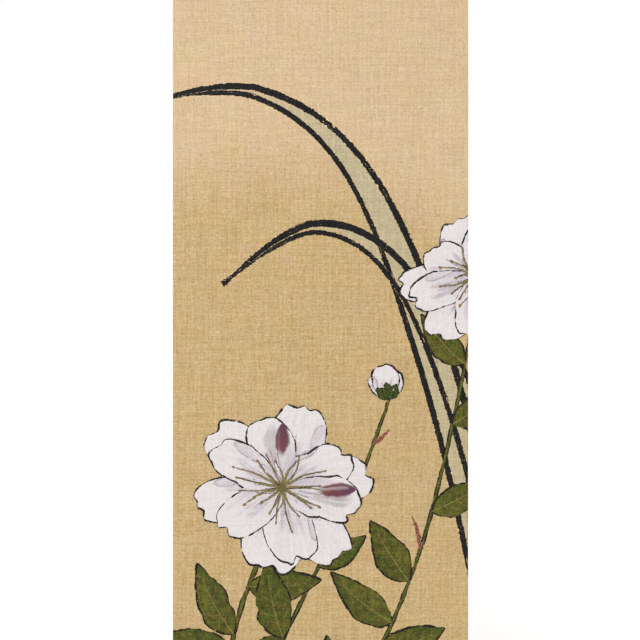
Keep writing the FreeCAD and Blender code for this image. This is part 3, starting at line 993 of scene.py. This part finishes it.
def brush_mark(films, path, widest, colours, under, lift, rng, strength):
    """One soft brush mark: a ribbon that swells as sin(pi t)^0.6 and goes from one colour to another. It
    sinks into what lies under it at its sides, at its lifted end and between its bristles."""
    t = np.linspace(0, 1, len(path))
    swell = np.sin(np.pi * t).clip(0) ** 0.6 * (1 + 0.1 * wander(len(path), 5, rng))
    band = ribbon(path, widest * swell, rng, 0.03, 11)
    v = np.abs(np.linspace(-1, 1, 11))[None]
    bristles = 1 + 0.34 * wander(11, 6, rng.spawn(1)[0])[None] * smooth(t[:, None] / 0.3)
    body = (strength * bristles * smooth((1.12 - v) / 0.6) * smooth((1.1 - t) / 0.45)[:, None]).clip(0, 1)
    colour = blend_colours(under, blend_colours(*colours, t[:, None]), body)
    films.lay(band, colour, lift, under=under, stroke_shift=rng.uniform(0, 9))


def paint_petal(layers, paint, placed, shape, order, blush, rng):
    """One petal: white body colour shaded towards its claw and down one side, soft lavender brush marks,
    an outline, and fine inner lines. A blushed one has a violet mark along a turned edge and a red-brown
    one beside it."""
    white, shade = paint.white, paint.shade
    lift = PETAL_LIFT + PETAL_STEP * order
    over, stained = lift + LINE_OVER_SHAPE, lift + STAIN_OVER_PETAL
    u, v = places_on(shape)
    lean = 1 if order % 2 else -1
    long = np.ptp(shape[..., 1])
    grey = 0.9 * np.exp(-3.6 * u) + 0.6 * smooth((lean * v - 0.25) / 0.6) * smooth((0.95 - u) / 0.5)
    body = blend_colours(white, shade, np.clip(grey, 0, 1))
    layers.bodies.lay(placed(shape), body, lift, stroke_shift=rng.uniform(0, 9))
    rim = np.concatenate([shape[3:, 0], shape[-1, 1:-1], shape[3:, -1][::-1]])
    outline(layers.lines, placed(rim), PETAL_LINE, paint.outline, over, rng, 0.2, under=white, taper=0.24)

    def along(start, end, v_start, v_end):
        """A line on the petal from one place along it to another, drifting across it."""
        u = np.linspace(start, end, 24)
        v = v_start + (v_end - v_start) * smooth((u - start) / (end - start))
        return curve_through(placed(on_petal(shape, u, v))[::3], PETAL_PATH)

    faint = blend_colours(shade, paint.outline, 0.5)
    for v_line in (-0.62, -0.3, 0.02, 0.34, 0.64):
        start = rng.uniform(0.1, 0.22)
        end = start + rng.uniform(0.22, 0.5) * (1.1 - abs(v_line))
        line = along(start, end, v_line * 0.8, v_line * 1.1)
        outline(layers.lines, line, INNER_LINE, faint, over, rng, gaps=0.6, under=white)
    v_marks = [rng.uniform(low, high) for low, high in ((-0.6, -0.2), (0.2, 0.6), (-0.15, 0.15))]
    for number, v_mark in enumerate(v_marks):
        mark = along(rng.uniform(0.08, 0.2), rng.uniform(0.55, 0.82), v_mark * 0.6, v_mark)
        height = lift + STAIN_OVER_PETAL * (0.3 + 0.2 * number)
        widest, strength = long * rng.uniform(0.06, 0.11), rng.uniform(0.55, 0.95)
        brush_mark(layers.stains, mark, widest, (shade, shade), white, height, rng, strength)
    if order % 3 != 1 and not blush:
        start, end, depth = (rng.uniform(*span) for span in ((0.35, 0.5), (0.86, 1.0), (0.25, 0.42)))
        fold = crescent(shape, start, end, depth, lean)
        _, across = places_on(fold, 0)
        colour = blend_colours(shade, white, 0.2 + 0.55 * across)
        layers.stains.lay(placed(fold), colour, stained, under=white, stroke_shift=rng.uniform(0, 9))
        outline(layers.lines, placed(fold[:, 0]), FOLD_LINE, faint, over, rng, 0.6, under=white, taper=0.3)
    if blush:
        plum = blend_colours(paint.violet, white, 0.42)
        pale, dark = along(0.4, 0.98, lean * 0.2, lean * 0.4), along(0.99, 0.36, lean * 0.78, lean * 0.5)
        brush_mark(layers.stains, pale, long * 0.22, (plum, plum), white, stained, rng, 0.7)
        tones = (paint.violet, blend_colours(paint.violet, paint.russet, 0.6))
        brush_mark(layers.stains, dark, long * 0.21, tones, white, lift + STAIN_OVER_PETAL * 1.4, rng, 1.25)


# A blossom's whorls, the back one first: how many petals, their share of the radius, and their turn in
# degrees.
WHORLS = ((6, 1.0, 0), (6, 0.86, 30))
# Stamens: how many, how wide at the root and how much narrower at the end, how far from the middle they
# start, how far their middles and ends sway, and the shortest and longest knob, whose root lies back from its
# stamen's end.
STAMENS = 19
STAMEN_WIDTH, STAMEN_TAPER, STAMEN_START, MIDDLE_SWAY, END_SWAY = 0.0046, 0.0032, 0.003, 0.005, 0.009
KNOB_LENGTHS, KNOB_BACK = (0.005, 0.0075), 0.003
EYE_LENGTH = 0.013
KNOB_OVER_STAMEN, EYE_OVER_STAMENS, LINE_OVER_CUP = 0.00001, 0.0002, 0.00003
# A bud's petals, by angle and share of its length, and its cup's leaves, by angle and lift over the
# stamens' height.
BUD_PETALS = ((18, 0.86), (-20, 0.84), (0, 1.0))
CUP_LEAVES = ((-38, 0.0), (0, 0.00001), (38, 0.000002))


def paint_heart(layers, paint, placed, turn, radius, layout, rng):
    """A blossom's stamens, spread evenly with a little chance, each with a knob at its end, round a green
    eye."""
    white = paint.white
    for number in range(STAMENS):
        angle = 360 / STAMENS * number + layout.uniform(-9, 9)
        length = radius * layout.uniform(0.26, 0.56)
        sway = layout.uniform(-1, 1, 2)
        middle, end = [MIDDLE_SWAY * sway[0], length * 0.55], [END_SWAY * sway[1], length]
        marks = np.array([[0, STAMEN_START], middle, end])
        path = curve_through(placed(marks, angle), TWIG_PATH)
        t = np.linspace(0, 1, len(path))
        lift = STAMEN_LIFT + STAMEN_STEP * number
        width = (STAMEN_WIDTH - STAMEN_TAPER * t) * rng.uniform(0.75, 1.15)
        thread = ribbon(path, width, rng, 0.18)
        colour = blend_colours(paint.ochre, paint.leaf, 0.2 * (1 - t[:, None]))
        layers.hearts.lay(thread, colour, lift, under=white)
        over = lift + LINE_OVER_STAMEN
        outline(layers.lines, thread[:, 0], STAMEN_LINE, paint.outline, over, rng, 0.5, under=white)
        knob = leaf_shape(rng.uniform(*KNOB_LENGTHS), 0.55, 0.0, rng, 10, 5) - [0, KNOB_BACK]
        colour = blend_colours(paint.ochre, paint.russet, 0.35)
        knob = turned(knob, angle + turn, path[-1])
        layers.hearts.lay(knob, colour, lift + KNOB_OVER_STAMEN, under=white)
    eye = leaf_shape(EYE_LENGTH, 0.95, 0, rng, 14, 7) - [0, EYE_LENGTH / 2]
    colour = blend_colours(paint.ochre, paint.leaf, 0.6)
    eye = turned(eye, turn, placed(np.zeros(2), 0))
    layers.hearts.lay(eye, colour, STAMEN_LIFT + EYE_OVER_STAMENS, under=white)


def paint_blossoms():
    """Open white blossoms of two whorls, with ochre stamens, and round buds in green cups."""
    paint = paints()
    layout, rng = (np.random.default_rng(seed) for seed in BLOSSOM_SEEDS)
    chalk = paint_finish("Chalk white", roughness=0.85, weave=0.16, streaks=0.035)
    stain = paint_finish("Petal stain", roughness=0.85, weave=0.22, mottle=0.05, streaks=0.12)
    fine = paint_finish("Fine ink", roughness=0.7, weave=0.6, grain=0.4)
    ochre = paint_finish("Stamen ochre", roughness=0.75, weave=0.5, mottle=0.1)
    layers = SimpleNamespace(
        bodies=Films("petal_white", chalk),
        stains=Films("petal_stains", stain),
        lines=Films("petal_lines", fine, LINE_PARTING),
        hearts=Films("stamens", ochre),
    )
    for place, radius, turn, tilt, blushes in BLOSSOMS:

        def on_blossom(points, angle):
            """Turns points to an angle on the blossom, tilts it, and turns it into its place."""
            return turned(turned(points, angle, squeeze=tilt), turn, place)

        order = 0
        for petals, reach, offset in WHORLS:
            for number in layout.permutation(petals):
                angle = 360 / petals * number + offset + layout.uniform(-7, 7)
                length = radius * reach * layout.uniform(0.93, 1.05)
                width = length * layout.uniform(0.54, 0.68)
                bend, notch = layout.uniform(-0.14, 0.14), layout.uniform(-0.4, 0.4)
                shape = petal_shape(length, width, bend, notch, layout)
                blush = reach < 1 and number in blushes
                paint_petal(layers, paint, partial(on_blossom, angle=angle), shape, order, blush, rng)
                order += 1
        paint_heart(layers, paint, on_blossom, turn, radius, layout, rng)
    for stem, length, lean in BUDS:
        tip = stem_path(stem)[-1]
        for order, (angle, share) in enumerate(BUD_PETALS):
            shape = petal_shape(length * share, length * 0.8 * share, 0, 0.9, rng, 30, 13)
            placed = partial(turned, degrees=angle + lean, place=tip)
            paint_petal(layers, paint, placed, shape, order, False, rng)
        for angle, raised in CUP_LEAVES:
            cup = turned(leaf_shape(length * 0.5, 0.62, 0, rng, 20, 7), angle + lean, tip)
            layers.hearts.lay(cup, paint.leaf, STAMEN_LIFT + raised, under=paint.white)
            over = STAMEN_LIFT + LINE_OVER_CUP
            for side in (0, -1):
                edge = cup[:, side]
                outline(layers.lines, edge, CUP_LINE, paint.outline, over, rng, 0.4, under=paint.white)
    for films in (layers.bodies, layers.stains, layers.lines, layers.hearts):
        films.make()


def cloth_finish():
    """Plain lining cloth: fine threads both ways, among them thicker ones that run for a hand's width."""
    trim = bpy.context.scene.screen_trim
    sheen = {"Sheen_Weight": 0.1, "Sheen_Roughness": 0.6}
    finish = Finish("Lining cloth", Roughness=0.9, Specular_IOR_Level=0.15, **sheen)
    cloth = finish.map_of("cloth")
    threads = finish.noise(cloth, (160, 1500)) + finish.noise(cloth, (1500, 150))
    slubs = finish.noise(cloth, (9, 230), (3, 1), detail=3, roughness=0.6)
    slubs += finish.noise(cloth, (230, 7), (1, 5), detail=3, roughness=0.6)
    shade = finish.spread(threads, 0.6, 1.4, 0.8, 1.2) + finish.spread(slubs, 0.7, 1.3, -0.13, 0.13)
    colour = finish.scaled(tuple(trim.lining), shade)
    return finish.done(colour, normal=finish.bump(threads, LINING_GRAIN, 0.8))


# The step of the lining's grid.
LINING_STEP = 0.03


def make_linings():
    """A flat woven sheet over each back, inside the hem."""
    finish = cloth_finish()
    for board in BOARDS.values():
        across = grid_lines(LINING_INSET, board.width - LINING_INSET, LINING_STEP)[::-1]
        up = grid_lines(LINING_INSET, board.height - LINING_INSET, LINING_STEP)
        x, z = np.meshgrid(across, up)
        points = np.stack([x, np.full_like(x, board.depth + LINING_THICKNESS), z], -1).reshape(-1, 3)
        name, quads = f"back_lining_{board.number}", quads_of(len(up), len(across))
        lining = new_piece(name, board.place(points), quads, {"cloth": points[:, [0, 2]]})
        thicken(lining, LINING_THICKNESS)
        settle(lining, board, finish, board.node("back_lining"))
        board.node("back_board")


def braid_finish():
    """Braided yarn: each strand a little lighter or darker, with twist lines across it, and painted shade
    that darkens the hollows between and beside the strands."""
    trim = bpy.context.scene.screen_trim
    sheen = {"Sheen_Weight": 0.15, "Sheen_Roughness": 0.5}
    finish = Finish("Braid yarn", Roughness=0.85, Specular_IOR_Level=0.2, **sheen)
    strand = finish.map_of("strand")
    dyed = finish.noise(strand, (170, 500), detail=3)
    twist = finish.noise(strand, (2600, 900), turn=0.7, detail=1)
    shade = finish.spread(dyed, 0.25, 0.75, 0.72, 1.12) + finish.spread(twist, 0.3, 0.7, -0.12, 0.12)
    # Painted shade: the yarn is darker where the strands' relief is low, in the hollows between them, along
    # the middle line and at the edges.
    shade *= finish.spread(finish.attribute("relief", "Fac"), 0, 1, 0.5, 1.1)
    colour = finish.scaled(tuple(trim.braid), shade)
    return finish.done(colour, normal=finish.bump(twist, YARN_GRAIN, 0.7))


# How many steps a plait is modelled in, and the gap between the braid's underside and the cloth below.
PLAIT_STEPS = 6
BRAID_CLEARANCE = 0.00002
# How far the chevrons lean, as a share of the braid's width, and what its edge, its crown and its strands add
# to its height.
CHEVRON_SHARE = 0.45
EDGE_SHARE, CROWN_SHARE, STRAND_SHARE = 0.42, 0.2, 0.38


def make_braids():
    """A flat braid round each lining: a crowned profile carried round the rectangle, with chevron strands
    that rise as the sine of the way along plus the way out from its middle line. v goes across it from
    the outer edge, and the underside closes the ring."""
    trim = bpy.context.scene.screen_trim
    finish = braid_finish()
    v = np.array([-1, -0.9, -0.5, -0.12, 0, 0.12, 0.5, 0.9, 1])
    out = np.abs(v)
    inset = BRAID_INSET + trim.braid_width * (v + 1) / 2
    seam = smooth(out / 0.12) * smooth((1 - out) / 0.1 + 0.15)
    edges = [-1, 0]
    for board in BOARDS.values():
        far, high = board.width - inset, board.height - inset
        pairs = ((inset, inset), (far, inset), (far, high), (inset, high))
        corners = [np.stack(pair, -1) for pair in pairs]
        runs, gone = [], 0.0
        for first, second in zip(corners, corners[1:] + corners[:1]):
            reach = np.linalg.norm(second - first, axis=1).mean()
            steps = int(round(reach / trim.plait)) * PLAIT_STEPS
            share = np.linspace(0, 1, steps, endpoint=False)[:, None, None]
            places = first * (1 - share) + second * share
            runs.append(np.concatenate([places, gone + share * reach * np.ones_like(places[..., :1])], -1))
            gone += reach
        runs = np.concatenate([*runs, runs[0][:1] + [0, 0, gone]])
        x, z, run = np.moveaxis(runs, -1, 0)
        leaning = run + out * trim.braid_width * CHEVRON_SHARE
        strand = 0.5 + 0.5 * np.sin(2 * np.pi * leaning / trim.plait * 2)
        base = board.depth + LINING_THICKNESS
        rise = trim.braid_height * (EDGE_SHARE + CROWN_SHARE * (1 - v**4) + STRAND_SHARE * strand * seam)
        top = np.stack([x, base + rise, z], -1)
        under_y = np.array([base, board.depth]) + BRAID_CLEARANCE
        under = np.stack([x[:, edges], np.broadcast_to(under_y, (len(runs), 2)), z[:, edges]], -1)
        ring = np.concatenate([top, under, top[:, :1]], 1)
        strand_map = np.stack([run, np.broadcast_to(v * trim.braid_width / 2, run.shape)], -1)
        strand_map = np.concatenate([strand_map, strand_map[:, edges], strand_map[:, :1]], 1)
        # The strands' relief also goes to the braid's material as painted shade for the hollows.
        relief = np.concatenate([strand * seam, np.zeros((len(runs), 2)), (strand * seam)[:, :1]], 1)
        braid = new_piece(
            f"back_braid_{board.number}", board.place(ring.reshape(-1, 3)), quads_of(*ring.shape[:2]),
            {"strand": strand_map.reshape(-1, 2)}, {"relief": np.repeat(relief.reshape(-1, 1), 4, axis=1)},
        )
        merge_seams(braid)
        settle(braid, board, finish, board.node("back_braid"))


def brass_finish(name, roughness, bright, tarnished, scratch_turn=0.0):
    """Brass with brown tarnish in patches and fine scratches."""
    finish = Finish(name, Metallic=1.0)
    places = finish.object_places()
    patches = finish.noise(places, (70, 70, 45), detail=4, roughness=0.6)
    fine = finish.noise(places, (900, 900, 120), turn=scratch_turn)
    colour = finish.mix(finish.spread(patches, 0.38, 0.74), bright, tarnished)
    colour = finish.mix(finish.spread(fine, 0.52, 0.78, 0, 0.4), colour, linear(222, 194, 138))
    rough = finish.spread(patches, 0.35, 0.7, roughness, roughness + 0.22)
    rough += finish.spread(fine, 0.3, 0.7, -0.04, 0.04)
    return finish.done(colour, rough, finish.bump(fine, SCRATCH_GRAIN, 0.5))


X_AXIS, Z_AXIS = 0, 2


def wood_finish(name, lengthwise, turn=0.0):
    """Planed softwood: growth lines and pores, from noises drawn out along the wood's length. That is z
    for a stile, and for a rail it is x once the places are turned to the panel's own axes."""
    finish = Finish(name, Roughness=0.65, Specular_IOR_Level=0.3)
    places = finish.stretched(finish.object_places(), (1, 1, 1), turn=turn)

    def drawn(across, along, **settings):
        scale = tuple(along if axis == lengthwise else across for axis in range(3))
        return finish.noise(places, scale, **settings)

    rings, pores = drawn(190, 7, detail=3, distortion=0.6), drawn(1400, 40)
    colour = finish.mix(finish.spread(rings, 0.35, 0.66), linear(206, 170, 122), linear(170, 126, 80))
    colour = finish.mix(finish.spread(pores, 0.62, 0.8, 0, 0.4), colour, linear(128, 92, 58))
    return finish.done(colour, normal=finish.bump(rings, WOOD_GRAIN, 0.4))


def rail_finish(board):
    """The frame's wood with its lines lying along one panel's width."""
    x_axis = board.axes[0]
    return wood_finish(f"Rail wood {board.number}", X_AXIS, -math.atan2(x_axis[1], x_axis[0]))


def hardboard_finish():
    """Pressed brown fibre: short flecks in all directions."""
    finish = Finish("Hardboard", Roughness=0.55, Specular_IOR_Level=0.35)
    places = finish.object_places()
    flecks, slow = finish.noise(places, 700, detail=4, roughness=0.65), finish.noise(places, 14, detail=3)
    colour = finish.mix(finish.spread(flecks, 0.3, 0.72), linear(122, 86, 56), linear(158, 118, 80))
    colour = finish.mix(finish.spread(slow, 0.35, 0.7, 0, 0.4), colour, linear(108, 76, 50))
    return finish.done(colour, normal=finish.bump(flecks, FIBRE_GRAIN, 0.5))


def plastic_finish():
    """Black moulded plastic with a fine spark-eroded grain, and paler scuffs."""
    finish = Finish("Glide plastic", Specular_IOR_Level=0.4)
    places = finish.object_places()
    grain, scuffs = finish.noise(places, 2600), finish.noise(places, (240, 240, 900), detail=3)
    colour = finish.mix(finish.spread(scuffs, 0.6, 0.78, 0, 0.5), linear(34, 32, 31), linear(96, 92, 88))
    rough = finish.spread(grain, 0.3, 0.7, 0.42, 0.6)
    return finish.done(colour, rough, finish.bump(grain, PLASTIC_GRAIN, 0.6))


def finish_hardware():
    """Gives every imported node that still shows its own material, by the last word of its name."""
    stile_wood = wood_finish("Frame wood", Z_AXIS)
    finishes = {"board": hardboard_finish(), "stile": stile_wood, "glides": plastic_finish()}
    brass = brass_finish("Hinge brass", 0.3, linear(196, 162, 102), linear(168, 133, 80))
    rails = {number: rail_finish(board) for number, board in BOARDS.items()}
    for name, thing in frame["nodes"].items():
        kind = name.split("_")[-1]
        material = rails[int(name[len("panel")])] if kind == "rail" else finishes.get(kind, brass)
        if not thing.material_slots:
            thing.data.materials.append(material)
        for place in thing.material_slots:
            place.material = material


# The hinge screws: the head, the shank, the slot and the thread, and their place on a leaf.
HEAD_RADIUS, HEAD_CROWN, SHANK_RADIUS, SCREW_LENGTH = 0.00265, 0.0002, 0.0014, 0.014
SLOT_WIDTH, SLOT_DEPTH, THREAD_PITCH = 0.0009, 0.0009, 0.0011
SCREW_FROM_FACE, SCREW_FROM_END, LEAF_HALF = 0.007, 0.01, 0.03
# The thread's root at both ends of the shank and its ridge, as shares of the shank's radius.
ROOT_SHARE, END_ROOT_SHARE, RIDGE_SHARE = 0.82, 0.8, 0.2
# How far from the screw's end its point starts, its levels stop and its last level lies, and the lengths over
# which the thread rises behind the cone and runs out at the end.
POINT_LENGTH, LEVELS_STOP, LAST_LEVEL, THREAD_RISE, THREAD_RUNOUT = 0.0025, 0.0022, 0.001, 0.001, 0.002
# The grid's levels: the first lies under the slot's floor, and a gap parts the slot and the cone from the
# next ones. The slot's walls lean out by a share of the head's radius.
UNDER_SLOT, LEVEL_GAP, SHANK_LEVELS, SLOT_WALL_SHARE = 0.0002, 0.0003, 40, 0.002


def screw_surface():
    """A countersunk slotted screw along +z with its head's face at nought. The face is a square grid
    pressed into a disc (x = a sqrt(1 - b^2/2), y = b sqrt(1 - a^2/2)), dropped where b lies inside the
    slot. Its rim is carried down the cone and the shank, whose radius rises and falls with the thread: a
    ridge of (way along / pitch - turn)."""
    slot = SLOT_WIDTH / 2 / HEAD_RADIUS
    wall = SLOT_WALL_SHARE
    b = np.array([-1, -0.72, -0.42, -slot - wall, -slot, 0, slot, slot + wall, 0.42, 0.72, 1])
    a, b = np.meshgrid(np.linspace(-1, 1, 9), b)
    x, y = a * np.sqrt(1 - b**2 / 2), b * np.sqrt(1 - a**2 / 2)
    sunk = np.where(np.abs(b) <= slot + 1e-6, SLOT_DEPTH, 0.0)
    crown = HEAD_CROWN * (x**2 + y**2) ** 2
    face = np.stack([x * HEAD_RADIUS, y * HEAD_RADIUS, -(sunk + crown)], -1)
    rim = np.concatenate([face[0, :-1], face[:-1, -1], face[-1, :0:-1], face[:0:-1, 0]])
    rim = np.concatenate([rim, rim[:1]])

    angle = np.arctan2(rim[:, 1], rim[:, 0])[:, None]
    cone, end = HEAD_RADIUS - SHANK_RADIUS, SCREW_LENGTH
    head_levels = [SLOT_DEPTH + UNDER_SLOT, *np.linspace(SLOT_DEPTH + LEVEL_GAP, cone, 3)[1:]]
    shank_levels = np.linspace(cone + LEVEL_GAP, end - LEVELS_STOP, SHANK_LEVELS)
    down = np.array([*head_levels, *shank_levels, end - LAST_LEVEL, end])
    core = [HEAD_RADIUS, SHANK_RADIUS * ROOT_SHARE, SHANK_RADIUS * END_ROOT_SHARE, 0]
    plain = np.interp(down, [0, cone, end - POINT_LENGTH, end], core)
    ridge = np.abs((down / THREAD_PITCH - angle / (2 * np.pi)) % 1 - 0.5)
    threaded = smooth((down - cone - THREAD_RISE) / THREAD_RISE) * smooth((end - down) / THREAD_RUNOUT)
    radius = plain + SHANK_RADIUS * RIDGE_SHARE * (1 - 2 * ridge) * threaded
    deep = -np.broadcast_to(down, radius.shape)
    stem = np.stack([np.cos(angle) * radius, np.sin(angle) * radius, deep], -1)
    stem = np.concatenate([rim[:, None], stem], 1)
    points = np.concatenate([face.reshape(-1, 3), stem.reshape(-1, 3)])
    stem_quads = quads_of(*stem.shape[:2]) + face[..., 0].size
    return points, np.concatenate([quads_of(*face.shape[:2]), stem_quads])


def make_screws():
    """The hinge screws, two in each leaf, each with its slot at an angle of its own."""
    finish = brass_finish("Screw brass", 0.22, linear(232, 206, 150), linear(206, 174, 116), 0.6)
    rng = np.random.default_rng(SCREW_SEED)
    points, quads = screw_surface()
    for board in BOARDS.values():
        for edge, face in HINGED_EDGES[board.number]:
            edge_x, way = (board.width, 1) if edge == RIGHT else (0.0, -1)
            deep = SCREW_FROM_FACE if face == FRONT else board.depth - SCREW_FROM_FACE
            set_in = []
            for level in board.hinge_levels():
                for step in (-1, 1):
                    spun = turned(points[:, :2], rng.uniform(0, 180))
                    x, y = edge_x + way * points[:, 2], deep + way * spun[:, 0]
                    z = level + step * (LEAF_HALF - SCREW_FROM_END) + spun[:, 1]
                    set_in.append(np.stack([x, y, z], -1))
            all_quads = np.concatenate([quads + len(points) * number for number in range(len(set_in))])
            places = board.place(np.concatenate(set_in))
            screws = new_piece(f"{face}_screws_{board.number}", places, all_quads)
            merge_seams(screws)
            settle(screws, board, finish, f"{face}_hinge_panel{board.number}_screws")


def level_by_rays(tree, lighting, seen):
    """Adds nodes for a strength that is one value for the rays that light things, and another for camera,
    glossy and transmission rays."""
    rays = tree.nodes.new("ShaderNodeLightPath")
    sees = rays.outputs["Is Camera Ray"]
    for kind in ("Is Glossy Ray", "Is Transmission Ray"):
        either = tree.nodes.new("ShaderNodeMath")
        either.operation = "MAXIMUM"
        tree.links.new(sees, either.inputs[0])
        tree.links.new(rays.outputs[kind], either.inputs[1])
        sees = either.outputs[0]
    level = tree.nodes.new("ShaderNodeMapRange")
    level.inputs["To Min"].default_value = lighting
    level.inputs["To Max"].default_value = seen
    tree.links.new(sees, level.inputs["Value"])
    return level.outputs[0]


# How far the floor reaches, and the lamp's place, size and direction in degrees.
FLOOR_REACH = 40.0
LAMP_PLACE, LAMP_SIZE, LAMP_ANGLES = (-1.9, -3.0, 3.0), 2.4, (52, 0, -32)


def make_stage():
    """A pale floor, an even white surround that lights softly, one broad lamp, and the camera square to
    the panel."""
    scene, stage = bpy.context.scene, bpy.context.scene.screen_stage
    corners = np.array([[-1, -1, 0], [1, -1, 0], [1, 1, 0], [-1, 1, 0]]) * FLOOR_REACH
    floor = new_piece("floor", corners, np.array([[0, 1, 2, 3]]))
    finish = Finish("Pale floor", Roughness=0.9, Specular_IOR_Level=0.1, Emission_Color=(1, 1, 1, 1))
    cloudy = finish.noise(finish.object_places(), 3, detail=3)
    paper = finish.mix(finish.spread(cloudy, 0.3, 0.7), linear(240, 239, 238), linear(244, 243, 242))
    glow = level_by_rays(finish.tree, 0.0, stage.floor_lift)
    finish.tree.links.new(glow, finish.shader.inputs["Emission Strength"])
    floor.data.materials.append(finish.done(paper))

    scene.world = bpy.data.worlds.new("White surround")
    scene.world.use_nodes = True
    tree = scene.world.node_tree
    surround = tree.nodes["Background"]
    surround.inputs["Color"].default_value = (1, 1, 1, 1)
    tree.links.new(level_by_rays(tree, stage.daylight, 1.0), surround.inputs["Strength"])

    lamp = add_object("Soft lamp", bpy.data.lights.new("Soft lamp", "AREA"))
    lamp.data.size = LAMP_SIZE
    lamp.data.energy = stage.lamp
    lamp.location = LAMP_PLACE
    lamp.rotation_euler = np.radians(LAMP_ANGLES)

    middle = BOARDS[1].place([[WIDTH / 2, 0, 0]])[0]
    camera = add_object("Camera", bpy.data.cameras.new("Camera"))
    camera.data.lens = stage.lens
    camera.location = (middle[0] + stage.side_step, middle[1] - stage.distance, stage.eye_height)
    camera.rotation_euler = (math.radians(90), 0, 0)
    scene.camera = camera
    scene.view_settings.view_transform = "Standard"


class SCREEN_OT_silk_covers(bpy.types.Operator):
    """Wraps each panel in silk, over its edges and onto its back."""

    bl_idname = "folding_screen.silk_covers"
    bl_label = "Silk covers"

    def execute(self, context):
        make_silk_covers()
        return {"FINISHED"}


class SCREEN_OT_grasses(bpy.types.Operator):
    """Paints the long grass blades in ink and wash."""

    bl_idname = "folding_screen.grasses"
    bl_label = "Grasses"

    def execute(self, context):
        paint_grasses()
        return {"FINISHED"}


class SCREEN_OT_leaves(bpy.types.Operator):
    """Paints the stems and leaves."""

    bl_idname = "folding_screen.leaves"
    bl_label = "Stems and leaves"

    def execute(self, context):
        paint_leaves()
        return {"FINISHED"}


class SCREEN_OT_blossoms(bpy.types.Operator):
    """Paints the blossoms and buds."""

    bl_idname = "folding_screen.blossoms"
    bl_label = "Blossoms and buds"

    def execute(self, context):
        paint_blossoms()
        return {"FINISHED"}


class SCREEN_OT_linings(bpy.types.Operator):
    """Lays the lining cloth over each back."""

    bl_idname = "folding_screen.linings"
    bl_label = "Back linings"

    def execute(self, context):
        make_linings()
        return {"FINISHED"}


class SCREEN_OT_braids(bpy.types.Operator):
    """Runs the flat braid round each lining."""

    bl_idname = "folding_screen.braids"
    bl_label = "Back braids"

    def execute(self, context):
        make_braids()
        return {"FINISHED"}


class SCREEN_OT_screws(bpy.types.Operator):
    """Sets the slotted screws in the hinge leaves."""

    bl_idname = "folding_screen.screws"
    bl_label = "Hinge screws"

    def execute(self, context):
        make_screws()
        return {"FINISHED"}


class SCREEN_OT_hardware(bpy.types.Operator):
    """Gives the frames, boards, hinges and glides their materials."""

    bl_idname = "folding_screen.hardware"
    bl_label = "Frames and hinges"

    def execute(self, context):
        finish_hardware()
        return {"FINISHED"}


class SCREEN_OT_stage(bpy.types.Operator):
    """Makes the floor, the light and the camera."""

    bl_idname = "folding_screen.stage"
    bl_label = "Stage"

    def execute(self, context):
        make_stage()
        return {"FINISHED"}


OPERATORS = (
    SCREEN_OT_stage,
    SCREEN_OT_silk_covers,
    SCREEN_OT_grasses,
    SCREEN_OT_leaves,
    SCREEN_OT_blossoms,
    SCREEN_OT_linings,
    SCREEN_OT_braids,
    SCREEN_OT_screws,
    SCREEN_OT_hardware,
)


class SCREEN_PT_pieces(bpy.types.Panel):
    """Lists the screen's settings and pieces."""

    bl_idname = "SCREEN_PT_pieces"
    bl_label = "Folding screen"
    bl_space_type = "VIEW_3D"
    bl_region_type = "UI"
    bl_category = "Folding screen"

    def draw(self, context):
        for name, group in SETTINGS.items():
            box = self.layout.box()
            for setting in group.__annotations__:
                box.prop(getattr(context.scene, name), setting)
        for operator in OPERATORS:
            self.layout.operator(operator.bl_idname)


def register():
    for kind in (*SETTINGS.values(), *OPERATORS, SCREEN_PT_pieces):
        bpy.utils.register_class(kind)
    for name, group in SETTINGS.items():
        setattr(bpy.types.Scene, name, bpy.props.PointerProperty(type=group))


def unregister():
    for name in SETTINGS:
        delattr(bpy.types.Scene, name)
    for kind in (SCREEN_PT_pieces, *reversed(OPERATORS), *reversed(SETTINGS.values())):
        bpy.utils.unregister_class(kind)


def main():
    register()
    for operator in OPERATORS:
        group, name = operator.bl_idname.split(".")
        getattr(getattr(bpy.ops, group), name)()


if __name__ == "__main__":
    main()
